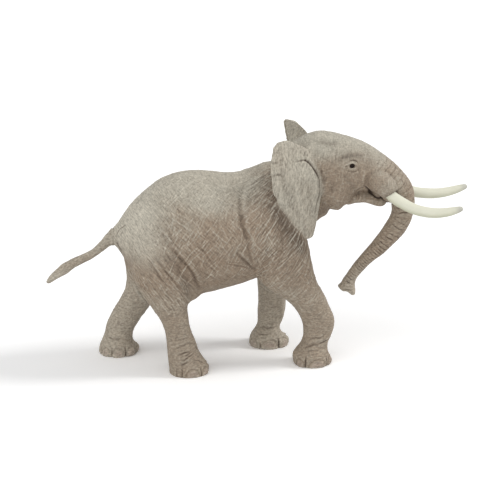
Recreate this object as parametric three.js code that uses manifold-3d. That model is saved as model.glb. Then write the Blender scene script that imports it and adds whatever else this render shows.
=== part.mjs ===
// Toy elephant figure: moulded PVC pieces keyed and glued together, walking, its head turned to its right.
// Millimetres. +X runs from the rump to the chest, +Y to the animal's left, +Z up, and the ground is Z = 0.
import * as THREE from "three";
import { mergeVertices } from "three/addons/utils/BufferGeometryUtils.js";
import Module from "manifold-3d";

const wasm = await Module();
wasm.setup();

// Driving sizes of the animal
const bodyLength = 100; // rump to chest
const backHeight = 100; // ground to the hump of the shoulder
const bodyWidth = 58; // across the belly
const foreStance = 33; // between the middles of the two front soles
const hindStance = 37.5; // between the middles of the two rear soles
const foreLegGirth = 16; // front to back across the shin of a front leg
const hindLegGirth = 15; // front to back across the shin of a rear leg
const headLength = 60; // nape to the front of the trunk's root
const headHeight = 38.8; // jaw angle to crown
const headWidth = 30.6; // across the temples
const headRise = 97; // ground to the middle of the head
const headTurn = THREE.MathUtils.degToRad(17); // to the animal's right
const trunkDrop = 48.6; // from the trunk's seam down to its tip
const trunkGirth = 11.4; // front to back across the trunk at its seam
const earHeight = 49.6;
const earWidth = 26;
const earThickness = 2.4;
const leftEarLift = 3.4; // the left ear sits this much higher than the right one
const earSweep = THREE.MathUtils.degToRad(28); // the ears lie back along the neck at this angle to the head
const leftEarFlare = THREE.MathUtils.degToRad(12); // the left ear stands out this much further
const tuskReach = 37.8; // gum to tip
const tuskGirth = 5.9;
const tailReach = 35; // along the ground from the seam to the tip
const tailGirth = 5.6;
const nailWidth = 4.6;

// Walls, fits and fastening features
const glueGap = 0.3; // between two glued faces
const overrun = 1; // how far a cutting tool passes through what it cuts
const bodyWall = 4; // round the hollow of the body
const foreSeamHeight = 55; // ground to the flat face at the top of a front leg
const hindSeamHeight = 52; // the same on a rear leg
const legPegDiameter = 8;
const legPegLength = 5;
const hollowFloor = 3.2; // body left over the end of a leg's peg
const shellPegDiameter = 4;
const shellPegLength = 3.5;
const spigotDiameter = 16; // the head's plug in the neck
const spigotLength = 9;
const trunkPegDiameter = 5;
const trunkPegLength = 5;
const tuskRootDiameter = 3.6;
const tuskRootLength = 6;
const tailPegDiameter = 2.6;
const tailPegLength = 5;
const earTabLength = 3.5;
const earTabHeight = 10;
const jawTabLength = 4.5;
const jawTabWidth = 6;
const jawTabThickness = 2.4;

const AHEAD = new THREE.Vector3(1, 0, 0);
const LEFT = new THREE.Vector3(0, 1, 0);
const UP = new THREE.Vector3(0, 0, 1);
const DOWN = new THREE.Vector3(0, 0, -1);
const FULL_TURN = 2 * Math.PI;
const SIDES = [
  { word: "right", side: -1 },
  { word: "left", side: 1 },
];

// Joining and cutting
function solidOf(geometry) {
  const bare = geometry.index ? geometry.toNonIndexed() : geometry.clone();
  bare.deleteAttribute("normal");
  bare.deleteAttribute("uv");
  const merged = mergeVertices(bare);
  return new wasm.Manifold(
    new wasm.Mesh({
      numProp: 3,
      vertProperties: merged.attributes.position.array,
      triVerts: new Uint32Array(merged.index.array),
    }),
  );
}

function geometryOf(solid) {
  const mesh = solid.getMesh();
  const geometry = new THREE.BufferGeometry();
  geometry.setAttribute("position", new THREE.BufferAttribute(mesh.vertProperties, 3));
  geometry.setIndex(new THREE.BufferAttribute(mesh.triVerts, 1));
  const faceted = geometry.toNonIndexed();
  faceted.computeVertexNormals();
  return faceted;
}

function joined(...solids) {
  return solids.reduce((whole, piece) => whole.add(piece));
}

// The copy of a solid that an object's position, rotation and scale give
function placed(solid, object) {
  object.updateMatrix();
  return solid.transform(object.matrix.elements);
}

// A row of numbers read at a place between two rows of a table, on a smooth curve through the rows
function between(rows, place) {
  const first = Math.min(Math.floor(place), rows.length - 2);
  const share = place - first;
  const square = share * share;
  const cube = square * share;
  const pick = (k) => rows[THREE.MathUtils.clamp(k, 0, rows.length - 1)];
  return rows[0].map((_, column) => {
    const [before, start, end, after] = [-1, 0, 1, 2].map((k) => pick(first + k)[column]);
    const startSlope = (end - before) / 2;
    const endSlope = (after - start) / 2;
    return (
      (2 * cube - 3 * square + 1) * start +
      (cube - 2 * square + share) * startSlope +
      (3 * square - 2 * cube) * end +
      (cube - square) * endSlope
    );
  });
}

const ovalRing = (turn) => [Math.cos(turn), Math.sin(turn)];

// A closed body whose rings follow stations [x, y, z, half across, half over, half under].
// The rings stand square to the path, or all face one way when ahead is given.
// A clearance in grow swells the body.
function loft(stations, { sides, steps, ahead = null, across = LEFT, ring = ovalRing, grow = 0 }) {
  const rings = (stations.length - 1) * steps;
  const geometry = new THREE.SphereGeometry(1, sides, rings);
  const corners = geometry.attributes.position;
  const nudge = 1 / (2 * steps);
  for (let row = 0; row <= rings; row++) {
    const at = row / steps;
    const [x, y, z, wide, over, under] = between(stations, at);
    const earlier = new THREE.Vector3(...between(stations, Math.max(at - nudge, 0)));
    const later = new THREE.Vector3(...between(stations, Math.min(at + nudge, stations.length - 1)));
    const normal = (ahead ?? later.sub(earlier)).clone().normalize();
    const side = across.clone().addScaledVector(normal, -across.dot(normal)).normalize();
    const top = new THREE.Vector3().crossVectors(normal, side);
    const isPole = row === 0 || row === rings;
    for (let column = 0; column <= sides; column++) {
      const [a, b] = ring(((column % sides) / sides) * FULL_TURN);
      const point = new THREE.Vector3(x, y, z);
      if (isPole) {
        point.addScaledVector(normal, Math.sign(row - 1) * grow);
      } else {
        point.addScaledVector(side, a * (wide + grow));
        point.addScaledVector(top, b * ((b > 0 ? over : under) + grow));
      }
      corners.setXYZ(row * (sides + 1) + column, point.x, point.y, point.z);
    }
  }
  geometry.index.array.reverse();
  return solidOf(geometry);
}

function roundPeg(diameter, length, from, towards) {
  const peg = new THREE.CylinderGeometry(diameter / 2, diameter / 2, length, 16);
  const holder = new THREE.Object3D();
  const way = towards.clone().normalize();
  holder.quaternion.setFromUnitVectors(LEFT, way);
  holder.position.copy(from).addScaledVector(way, length / 2);
  return placed(solidOf(peg), holder);
}

// A peg that starts inside its own piece, and the hole that receives it with room for the glue
function pegAndHole(diameter, length, from, towards) {
  const way = towards.clone().normalize();
  const start = from.clone().addScaledVector(way, -overrun);
  return {
    peg: roundPeg(diameter, length + overrun, start, way),
    hole: roundPeg(diameter + 2 * glueGap, length + overrun + glueGap, start, way),
  };
}

function slab(lengthX, lengthY, lengthZ, centre) {
  const geometry = new THREE.BoxGeometry(lengthX, lengthY, lengthZ);
  geometry.translate(centre.x, centre.y, centre.z);
  return solidOf(geometry);
}

// Everything past a plane, on the side that its normal points to
function past(point, normal) {
  const reach = 3 * (bodyLength + backHeight);
  const room = slab(reach, reach, reach, new THREE.Vector3(0, 0, reach / 2));
  const holder = new THREE.Object3D();
  holder.quaternion.setFromUnitVectors(UP, normal.clone().normalize());
  holder.position.copy(point);
  return placed(room, holder);
}

const atHeight = (height) => new THREE.Vector3(0, 0, height);
const sideRoom = (side, inset) => past(new THREE.Vector3(0, side * inset, 0), new THREE.Vector3(0, side, 0));

// Body: [along, top, bottom, half width] as shares of the body's length, height, height and width
const barrelShares = [
  [-0.525, 0.665, 0.665, 0],
  [-0.515, 0.692, 0.632, 0.085],
  [-0.49, 0.73, 0.595, 0.17],
  [-0.45, 0.787, 0.525, 0.27],
  [-0.4, 0.845, 0.455, 0.35],
  [-0.34, 0.896, 0.41, 0.405],
  [-0.27, 0.942, 0.382, 0.45],
  [-0.19, 0.971, 0.362, 0.478],
  [-0.11, 0.977, 0.352, 0.495],
  [-0.03, 0.967, 0.366, 0.505],
  [0.05, 0.958, 0.383, 0.507],
  [0.13, 0.958, 0.402, 0.495],
  [0.2, 0.98, 0.424, 0.47],
  [0.27, 1.003, 0.455, 0.435],
  [0.34, 0.998, 0.5, 0.385],
  [0.4, 0.97, 0.555, 0.325],
  [0.45, 0.925, 0.615, 0.26],
  [0.49, 0.87, 0.675, 0.18],
  [0.51, 0.78, 0.78, 0],
];

// The body is narrower towards the spine than at the belly
const spineTaperShare = 0.13;
const pearRing = (turn) => [Math.cos(turn) * (1 - spineTaperShare * Math.sin(turn)), Math.sin(turn)];

function bodyStations(shares, wall) {
  return shares.map(([along, top, bottom, half]) => {
    const depth = Math.max(((top - bottom) * backHeight) / 2 - wall, 0);
    const width = Math.max(half * bodyWidth - wall, 0);
    return [along * bodyLength, 0, ((top + bottom) * backHeight) / 2, width, depth, depth];
  });
}

const barrelLathe = { sides: 24, steps: 2, ahead: AHEAD, ring: pearRing };
const barrel = loft(bodyStations(barrelShares, 0), barrelLathe);

// Shoulders and thighs, which belong to the body: [along, height, half length, half width, sideways], as
// shares of the body's length, height, length, width and half width. The legs go on below with like rows, as
// shares of the body's length and height, twice of the leg's girth, and of half the stance.
const shoulderRightShares = [
  [0.29, 0.82, 0, 0, 0.387],
  [0.295, 0.79, 0.064, 0.088, 0.415],
  [0.3, 0.73, 0.109, 0.143, 0.506],
  [0.303, 0.65, 0.131, 0.174, 0.563],
  [0.313, 0.56, 0.138, 0.181, 0.58],
];
const foreRightShares = [
  [0.324, 0.48, 0.88, 0.63, 1.02],
  [0.342, 0.43, 0.86, 0.6, 1.02],
  [0.376, 0.39, 0.77, 0.57, 1.02],
  [0.419, 0.35, 0.645, 0.53, 1.01],
  [0.451, 0.31, 0.575, 0.5, 1],
  [0.476, 0.27, 0.55, 0.485, 1],
  [0.493, 0.23, 0.525, 0.475, 1],
  [0.499, 0.19, 0.505, 0.465, 1],
  [0.494, 0.16, 0.47, 0.445, 1],
  [0.486, 0.13, 0.425, 0.43, 1],
  [0.473, 0.1, 0.44, 0.45, 1],
  [0.459, 0.07, 0.52, 0.52, 1],
  [0.455, 0.045, 0.585, 0.57, 1],
  [0.462, 0.022, 0.6, 0.585, 1],
  [0.465, 0.006, 0.575, 0.565, 1],
  [0.465, 0, 0.54, 0.53, 1],
  [0.465, 0, 0, 0, 1],
];
const shoulderLeftShares = [
  [0.29, 0.82, 0, 0, 0.387],
  [0.295, 0.79, 0.064, 0.088, 0.415],
  [0.3, 0.73, 0.106, 0.143, 0.506],
  [0.305, 0.65, 0.125, 0.174, 0.563],
  [0.315, 0.56, 0.122, 0.177, 0.58],
];
const foreLeftShares = [
  [0.323, 0.48, 0.66, 0.59, 1.02],
  [0.329, 0.42, 0.55, 0.52, 1.02],
  [0.331, 0.35, 0.495, 0.475, 1.01],
  [0.331, 0.28, 0.47, 0.45, 1],
  [0.329, 0.22, 0.455, 0.44, 1],
  [0.323, 0.17, 0.46, 0.435, 1],
  [0.319, 0.13, 0.42, 0.41, 1],
  [0.31, 0.1, 0.37, 0.4, 1],
  [0.3, 0.075, 0.42, 0.45, 1],
  [0.302, 0.048, 0.53, 0.54, 1],
  [0.308, 0.024, 0.62, 0.6, 1],
  [0.31, 0.006, 0.6, 0.58, 1],
  [0.31, 0, 0.56, 0.545, 1],
  [0.31, 0, 0, 0, 1],
];
const thighRightShares = [
  [-0.28, 0.82, 0, 0, 0.42],
  [-0.282, 0.79, 0.06, 0.083, 0.446],
  [-0.286, 0.73, 0.114, 0.142, 0.511],
  [-0.29, 0.66, 0.145, 0.178, 0.556],
  [-0.295, 0.59, 0.158, 0.197, 0.582],
];
const hindRightShares = [
  [-0.295, 0.5, 1.01, 0.74, 0.93],
  [-0.286, 0.44, 0.87, 0.68, 0.95],
  [-0.277, 0.39, 0.715, 0.61, 0.97],
  [-0.265, 0.35, 0.6, 0.55, 0.98],
  [-0.25, 0.31, 0.505, 0.5, 0.99],
  [-0.239, 0.27, 0.435, 0.46, 1],
  [-0.224, 0.22, 0.42, 0.44, 1],
  [-0.21, 0.17, 0.47, 0.46, 1],
  [-0.199, 0.12, 0.51, 0.49, 1],
  [-0.185, 0.08, 0.58, 0.54, 1],
  [-0.172, 0.05, 0.65, 0.61, 1],
  [-0.168, 0.022, 0.665, 0.63, 1],
  [-0.168, 0.006, 0.64, 0.61, 1],
  [-0.168, 0, 0.61, 0.58, 1],
  [-0.168, 0, 0, 0, 1],
];
const thighLeftShares = [
  [-0.28, 0.82, 0, 0, 0.42],
  [-0.284, 0.79, 0.06, 0.083, 0.446],
  [-0.29, 0.73, 0.111, 0.142, 0.511],
  [-0.298, 0.66, 0.14, 0.178, 0.556],
  [-0.308, 0.59, 0.145, 0.194, 0.582],
];
const hindLeftShares = [
  [-0.315, 0.5, 0.86, 0.72, 0.93],
  [-0.318, 0.44, 0.74, 0.66, 0.95],
  [-0.324, 0.38, 0.65, 0.6, 0.97],
  [-0.342, 0.33, 0.6, 0.55, 0.98],
  [-0.369, 0.28, 0.595, 0.51, 0.99],
  [-0.4, 0.23, 0.6, 0.48, 1],
  [-0.433, 0.18, 0.575, 0.46, 1],
  [-0.451, 0.14, 0.545, 0.455, 1],
  [-0.461, 0.105, 0.515, 0.46, 1],
  [-0.469, 0.075, 0.53, 0.5, 1],
  [-0.47, 0.048, 0.6, 0.57, 1],
  [-0.466, 0.024, 0.67, 0.63, 1],
  [-0.466, 0.006, 0.645, 0.61, 1],
  [-0.466, 0, 0.61, 0.58, 1],
  [-0.466, 0, 0, 0, 1],
];

// Toenails stand round the front of a sole, placed in shares of a full turn either side of straight ahead
const foreNailShares = [-0.17, -0.06, 0.05, 0.16];
const hindNailShares = [-0.14, -0.02, 0.1];
const nailHeightShare = 0.7;
const nailReliefShare = 0.13;
const nailRiseShare = 0.08;

const foreLeg = { girth: foreLegGirth, stance: foreStance, seam: foreSeamHeight, toes: foreNailShares };
const hindLeg = { girth: hindLegGirth, stance: hindStance, seam: hindSeamHeight, toes: hindNailShares };
const legs = [
  { ...foreLeg, name: "leg_front_right", upper: shoulderRightShares, lower: foreRightShares, side: -1 },
  { ...foreLeg, name: "leg_front_left", upper: shoulderLeftShares, lower: foreLeftShares, side: 1 },
  { ...hindLeg, name: "leg_hind_right", upper: thighRightShares, lower: hindRightShares, side: -1 },
  { ...hindLeg, name: "leg_hind_left", upper: thighLeftShares, lower: hindLeftShares, side: 1 },
];

function legStations({ upper, lower, girth, stance, side }) {
  const inBody = upper.map(([along, height, halfLength, halfWidth, sideways]) => [
    along * bodyLength,
    (side * sideways * bodyWidth) / 2,
    height * backHeight,
    halfWidth * bodyWidth,
    halfLength * bodyLength,
    halfLength * bodyLength,
  ]);
  const belowBody = lower.map(([along, height, halfLength, halfWidth, sideways]) => [
    along * bodyLength,
    (side * sideways * stance) / 2,
    height * backHeight,
    halfWidth * girth,
    halfLength * girth,
    halfLength * girth,
  ]);
  return [...inBody, ...belowBody];
}

function nails({ toes, side }, stations) {
  const [x, y, z, wide, length] = stations[stations.length - 4];
  return toes.map((share) => {
    const turn = share * side * FULL_TURN;
    const nail = new THREE.Object3D();
    nail.position.set(x + length * Math.cos(turn), y + wide * Math.sin(turn), z + nailRiseShare * nailWidth);
    nail.rotation.z = turn;
    nail.scale.set(nailReliefShare * nailWidth, nailWidth / 2, (nailHeightShare * nailWidth) / 2);
    return placed(solidOf(new THREE.SphereGeometry(1, 8, 5)), nail);
  });
}

for (const leg of legs) {
  const stations = legStations(leg);
  const whole = (grow) => loft(stations, { sides: 20, steps: 1, ahead: DOWN, grow });
  const [x, y] = stations[leg.upper.length - 1];
  const fastening = pegAndHole(legPegDiameter, legPegLength, new THREE.Vector3(x, y, leg.seam), UP);
  const lower = whole(0).intersect(past(atHeight(leg.seam), DOWN));
  leg.solid = joined(lower, fastening.peg, ...nails(leg, stations));
  leg.thigh = whole(0).intersect(past(atHeight(leg.seam + glueGap), UP));
  leg.pocket = whole(glueGap).intersect(past(atHeight(leg.seam + glueGap), DOWN));
  leg.hole = fastening.hole;
}

// Head, in its own frame: X runs from the nape to the face, and the frame is turned to the animal's right.
// Stations [along, height, half width, half over, half under], as shares of the head's length, of its height
// from the middle of the head, of its width, of its height and of its height.
const neckSeatShare = 0.38;
const headShares = [
  [-0.05, 0.03, 0, 0, 0],
  [-0.02, 0.03, 0.24, 0.25, 0.28],
  [0.05, 0.02, 0.36, 0.37, 0.4],
  [0.133, 0.01, 0.43, 0.452, 0.465],
  [0.233, 0, 0.475, 0.492, 0.5],
  [0.333, 0, 0.5, 0.481, 0.495],
  [0.433, -0.012, 0.5, 0.46, 0.465],
  [0.533, -0.026, 0.485, 0.428, 0.3],
  [0.633, -0.044, 0.455, 0.366, 0.2],
  [0.733, -0.082, 0.41, 0.283, 0.18],
  [0.833, -0.16, 0.36, 0.214, 0.168],
  [0.908, -0.268, 0.29, 0.18, 0.155],
  [0.938, -0.37, 0.225, 0.152, 0.145],
  [0.94, -0.43, 0.222, 0.15, 0.143],
  [0.94, -0.43, 0, 0, 0],
];
// The neck reaches from inside the body into the head
const neckShares = [
  [-0.3, -0.42, 0, 0, 0],
  [-0.25, -0.41, 0.4, 0.44, 0.35],
  [-0.08, -0.3, 0.44, 0.4, 0.55],
  [0.08, -0.18, 0.43, 0.41, 0.63],
  [0.2, -0.08, 0.4, 0.42, 0.65],
  [0.28, -0.02, 0.34, 0.36, 0.61],
  [0.335, 0, 0.25, 0.25, 0.52],
  [0.345, 0, 0, 0, 0],
];
// Each tusk leaves the head through a sheath: [along, height, sideways, radius], the last two of its width
const sheathShares = [
  [0.66, 0.01, 0.29, 0],
  [0.69, -0.01, 0.325, 0.12],
  [0.74, -0.06, 0.355, 0.18],
  [0.8, -0.135, 0.378, 0.172],
  [0.84, -0.2, 0.392, 0.145],
  [0.85, -0.218, 0.396, 0.118],
  [0.85, -0.218, 0.396, 0],
];

function headPoint(along, height, sideways) {
  return new THREE.Vector3(along * headLength, sideways * headWidth, headRise + height * headHeight);
}

function headStations(shares) {
  return shares.map(([along, height, half, over, under]) => [
    ...headPoint(along, height, 0).toArray(),
    half * headWidth,
    over * headHeight,
    under * headHeight,
  ]);
}

function sheathStations(side) {
  return sheathShares.map(([along, height, sideways, radius]) => [
    ...headPoint(along, height, side * sideways).toArray(),
    radius * headWidth,
    radius * headWidth,
    radius * headWidth,
  ]);
}

const headGroup = new THREE.Group();
headGroup.position.x = neckSeatShare * bodyLength;
headGroup.rotation.z = -headTurn;
headGroup.updateMatrix();
const intoHeadFrame = (solid) => solid.transform(headGroup.matrix.clone().invert().elements);
const outOfHeadFrame = (solid) => solid.transform(headGroup.matrix.elements);

const skull = loft(headStations(headShares), { sides: 24, steps: 2 });
const neck = loft(headStations(neckShares), { sides: 24, steps: 2, ahead: AHEAD });

// The seam between neck and body is a flat face that leans back over the shoulders
const neckSeamAlongShare = 0.45;
const neckSeamHeightShare = 0.81;
const neckSeamLean = THREE.MathUtils.degToRad(25);
const neckSeamHeight = neckSeamHeightShare * backHeight;
const neckSeamPoint = new THREE.Vector3(neckSeamAlongShare * bodyLength, 0, neckSeamHeight);
const neckSeamNormal = new THREE.Vector3(Math.cos(neckSeamLean), 0, Math.sin(neckSeamLean));
const neckSeamBack = neckSeamNormal.clone().negate();
const spigot = pegAndHole(spigotDiameter, spigotLength, neckSeamPoint, neckSeamBack);
const neckGapPoint = neckSeamPoint.clone().addScaledVector(neckSeamBack, glueGap);

// Trunk: stations [along, drop, half width, half front, half back], along as shares of the head's length,
// drop of the trunk's and the rest of its girth
const trunkShares = [
  [0.94, -0.03, 0, 0, 0],
  [0.94, -0.03, 0.59, 0.5, 0.48],
  [0.937, 0.08, 0.545, 0.49, 0.47],
  [0.925, 0.15, 0.51, 0.475, 0.46],
  [0.897, 0.225, 0.485, 0.46, 0.45],
  [0.857, 0.3, 0.46, 0.45, 0.44],
  [0.807, 0.385, 0.43, 0.415, 0.41],
  [0.738, 0.485, 0.395, 0.375, 0.37],
  [0.67, 0.57, 0.35, 0.325, 0.325],
  [0.62, 0.64, 0.315, 0.29, 0.295],
  [0.58, 0.7, 0.29, 0.275, 0.275],
  [0.543, 0.76, 0.27, 0.255, 0.26],
  [0.512, 0.815, 0.26, 0.255, 0.255],
  [0.492, 0.87, 0.275, 0.3, 0.29],
  [0.485, 0.925, 0.3, 0.37, 0.375],
  [0.482, 0.965, 0.26, 0.38, 0.37],
  [0.482, 0.99, 0.14, 0.3, 0.26],
  [0.482, 1, 0, 0, 0],
];
const trunkSeamShare = -0.4;

function trunkPoint(along, drop) {
  return headPoint(along, trunkSeamShare, 0).addScaledVector(DOWN, glueGap + drop * trunkDrop);
}

const trunkStations = trunkShares.map(([along, drop, half, front, back]) => [
  ...trunkPoint(along, drop).toArray(),
  half * trunkGirth,
  front * trunkGirth,
  back * trunkGirth,
]);

// The tip is split into a front and a back finger by the mouth of the nostrils
const nostrilShares = { along: 0.485, drop: 1.01, half: 0.16, depth: 0.06 };

function nostril() {
  const bite = new THREE.Object3D();
  bite.position.copy(trunkPoint(nostrilShares.along, nostrilShares.drop));
  bite.scale.set(nostrilShares.half * trunkGirth, trunkGirth / 2, nostrilShares.depth * trunkDrop);
  return placed(solidOf(new THREE.SphereGeometry(1, 12, 8)), bite);
}

const trunkFace = trunkPoint(trunkShares[0][0], 0);
const trunkFastening = pegAndHole(trunkPegDiameter, trunkPegLength, trunkFace, UP);
const trunkTube = loft(trunkStations, { sides: 16, steps: 2 }).intersect(past(trunkFace, DOWN));
const trunk = trunkTube.subtract(nostril()).add(trunkFastening.peg);

// Tusk: stations [along, height, sideways, radius] from its root, as shares of the tusk's reach, of the
// head's height, of the head's width and of the tusk's girth
const tuskShares = [
  [0, 0, 0, 0],
  [0, 0, 0, 0.5],
  [0.13, -0.126, 0.035, 0.5],
  [0.275, -0.209, 0.09, 0.485],
  [0.437, -0.241, 0.15, 0.45],
  [0.597, -0.227, 0.205, 0.4],
  [0.748, -0.18, 0.245, 0.335],
  [0.871, -0.136, 0.267, 0.27],
  [0.965, -0.1, 0.277, 0.19],
  [1, -0.088, 0.28, 0],
];
const tuskRootShares = { along: 0.83, height: -0.183, sideways: 0.39 };

function tuskStations(side) {
  const root = headPoint(tuskRootShares.along, tuskRootShares.height, side * tuskRootShares.sideways);
  return tuskShares.map(([along, height, sideways, radius]) => [
    root.x + along * tuskReach,
    root.y + side * sideways * headWidth,
    root.z + height * headHeight,
    radius * tuskGirth,
    radius * tuskGirth,
    radius * tuskGirth,
  ]);
}

function tuskOf(side) {
  const stations = tuskStations(side);
  const root = new THREE.Vector3(...stations[1]);
  const inwards = root.clone().sub(new THREE.Vector3(...stations[2])).normalize();
  const fastening = pegAndHole(tuskRootDiameter, tuskRootLength, root, inwards);
  const lathe = { sides: 12, steps: 2 };
  const socketFloor = root.clone().addScaledVector(inwards, 2 * glueGap);
  const mouthLength = 2 * glueGap + overrun;
  const mouth = roundPeg(tuskGirth + 2 * glueGap, mouthLength, socketFloor, inwards.clone().negate());
  return {
    solid: joined(loft(stations, lathe), fastening.peg),
    socket: joined(loft(stations, { ...lathe, grow: glueGap }), fastening.hole, mouth),
  };
}

// Lower jaw: stations [along, height, half width, half over, half under], as the head's are
const jawShares = [
  [0.44, -0.33, 0, 0, 0],
  [0.47, -0.335, 0.16, 0.05, 0.06],
  [0.55, -0.33, 0.22, 0.085, 0.065],
  [0.63, -0.33, 0.21, 0.09, 0.065],
  [0.71, -0.345, 0.165, 0.075, 0.07],
  [0.77, -0.358, 0.11, 0.055, 0.06],
  [0.805, -0.36, 0, 0, 0],
];
const jawEndShare = jawShares[jawShares.length - 1][0];
const jawTabShares = { along: 0.55, height: -0.25 };

function jawTab(clearance) {
  const length = jawTabLength + 2 * clearance;
  const centre = headPoint(jawTabShares.along, jawTabShares.height, 0);
  return slab(jawTabThickness + 2 * clearance, jawTabWidth + 2 * clearance, length, centre);
}

function jaw(grow) {
  return loft(headStations(jawShares), { sides: 16, steps: 2, ahead: AHEAD, grow }).add(jawTab(grow));
}

// Ears: rows [front edge, back edge, height, curl] from the top edge to the tip. The edges are shares of the
// ear's width ahead of its back, the height of its height above the tip, the curl of its width outwards.
const earShares = [
  [0.44, 0.44, 0.965, -0.36],
  [0.64, 0.25, 0.95, -0.33],
  [0.8, 0.15, 0.915, -0.28],
  [0.86, 0.09, 0.85, -0.2],
  [0.88, 0.03, 0.78, -0.125],
  [0.97, 0, 0.69, -0.055],
  [1.05, 0, 0.593, 0],
  [1.07, 0.02, 0.492, 0],
  [1.03, 0.125, 0.39, 0],
  [0.99, 0.235, 0.29, 0],
  [0.94, 0.36, 0.19, 0.01],
  [0.89, 0.535, 0.09, 0.02],
  [0.85, 0.67, 0.03, 0.02],
  [0.78, 0.78, 0, 0.02],
];
const earFrontShare = 0.27;
const earSideShare = 0.465;
const earTipShare = -0.785;
const earTabShare = 0.55;
const leftEarLeanShare = 0.06;
const leftEarTrimShare = 0.25;

function flatRing(turn) {
  const [a, b] = ovalRing(turn);
  return [a, Math.sign(b) * Math.sqrt(Math.abs(b))];
}

const sweepOf = (side) => (side > 0 ? earSweep + leftEarFlare : earSweep);

function earRoot(side) {
  const lift = side > 0 ? leftEarLift : 0;
  return headPoint(earFrontShare, earTipShare, side * earSideShare).addScaledVector(UP, lift);
}

function earOf(side, grow) {
  const sweep = sweepOf(side);
  const lean = side > 0 ? leftEarLeanShare : 0;
  const trim = side > 0 ? leftEarTrimShare : 0;
  const backwards = new THREE.Vector3(-Math.cos(sweep), side * Math.sin(sweep), 0);
  const outwards = new THREE.Vector3(Math.sin(sweep), side * Math.cos(sweep), 0);
  const root = earRoot(side);
  const stations = earShares.map(([fore, aft, height, curl]) => {
    const above = Math.max(height - earTabShare, 0);
    const front = fore - trim * above;
    const middle = (1 - (front + aft) / 2) * earWidth + lean * above * earHeight;
    const centre = root.clone().addScaledVector(backwards, middle);
    centre.addScaledVector(outwards, curl * earWidth).addScaledVector(UP, height * earHeight);
    const half = (Math.max(front - aft, 0) / 2) * earWidth;
    const thin = half > 0 ? earThickness / 2 : 0;
    return [...centre.toArray(), half, thin, thin];
  });
  return loft(stations, { sides: 18, steps: 1, ahead: DOWN, across: backwards, ring: flatRing, grow });
}

function earTab(side, clearance) {
  const holder = new THREE.Object3D();
  const length = earThickness / 2 + earTabLength + clearance;
  holder.position.copy(earRoot(side)).addScaledVector(UP, earTabShare * earHeight);
  holder.rotation.z = side * -sweepOf(side);
  const tab = slab(
    earThickness + 2 * clearance,
    length,
    earTabHeight + 2 * clearance,
    new THREE.Vector3(-earThickness, (-side * length) / 2, 0),
  );
  return placed(tab, holder);
}

// Tail: stations [along, height, half width, half over, half under], as shares of the tail's reach behind
// the rump, of the back's height and of the tail's girth
const tailShares = [
  [0, 0.675, 0, 0, 0],
  [0.01, 0.672, 0.7, 0.72, 0.72],
  [0.1, 0.648, 0.5, 0.52, 0.52],
  [0.2, 0.621, 0.36, 0.36, 0.38],
  [0.29, 0.594, 0.32, 0.33, 0.33],
  [0.39, 0.573, 0.32, 0.34, 0.36],
  [0.51, 0.557, 0.33, 0.33, 0.33],
  [0.63, 0.538, 0.42, 0.37, 0.38],
  [0.74, 0.512, 0.5, 0.46, 0.46],
  [0.83, 0.49, 0.42, 0.35, 0.35],
  [0.91, 0.469, 0.34, 0.29, 0.29],
  [0.975, 0.449, 0.16, 0.13, 0.13],
  [0.99, 0.443, 0, 0, 0],
];
const rumpShare = -0.495;
const tailPegRiseShare = 0.6;

const tailStations = tailShares.map(([along, height, half, over, under]) => [
  rumpShare * bodyLength - along * tailReach,
  0,
  height * backHeight,
  half * tailGirth,
  over * tailGirth,
  under * tailGirth,
]);
const [, , tailSeat] = tailStations;
const tailRoot = new THREE.Vector3(...tailSeat);
const tailPegWay = new THREE.Vector3(1, 0, tailPegRiseShare);
const tailFastening = pegAndHole(tailPegDiameter, 2 * tailPegLength, tailRoot, tailPegWay);
const barrelSwollen = loft(bodyStations(barrelShares, -glueGap), barrelLathe);
const tail = joined(loft(tailStations, { sides: 12, steps: 1 }).subtract(barrelSwollen), tailFastening.peg);

// The hollow keeps one wall all round, above the pegs of the legs, and ends short of the rump and the chest
const hollowRearShare = -0.42;
const hollowFrontShare = 0.3;

function hollow() {
  const shares = barrelShares.filter(([along]) => along > hollowRearShare && along < hollowFrontShare);
  const rows = bodyStations(shares, bodyWall);
  const first = [...rows[0].slice(0, 3), 0, 0, 0];
  const last = [...rows[rows.length - 1].slice(0, 3), 0, 0, 0];
  const floor = foreSeamHeight + glueGap + legPegLength + hollowFloor;
  const inside = loft([first, ...rows, last], { sides: 24, steps: 1, ahead: AHEAD, ring: pearRing });
  return inside.intersect(past(atHeight(floor), UP));
}

// Pegs on the right half of the body find holes in the left half: places [along, height]
const shellPegShares = [
  [-0.42, 0.6],
  [-0.06, 0.5],
  [0.12, 0.5],
  [0.36, 0.62],
];
const shellPegs = shellPegShares.map(([along, height]) => {
  const foot = new THREE.Vector3(along * bodyLength, -glueGap / 2, height * backHeight);
  return pegAndHole(shellPegDiameter, shellPegLength, foot, LEFT);
});

function bodyHalf(side) {
  const own = legs.filter((leg) => leg.side === side);
  let half = barrel.add(outOfHeadFrame(neck)).intersect(sideRoom(side, glueGap / 2));
  half = half.subtract(past(neckGapPoint, neckSeamNormal));
  for (const leg of own) {
    half = half.subtract(leg.pocket).add(leg.thigh).subtract(leg.hole);
  }
  half = half.subtract(hollow()).subtract(spigot.hole).subtract(tailFastening.hole);
  half = half.subtract(outOfHeadFrame(earOf(side, glueGap)));
  for (const { peg, hole } of shellPegs) {
    half = side < 0 ? half.add(peg) : half.subtract(hole);
  }
  return half;
}

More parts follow.
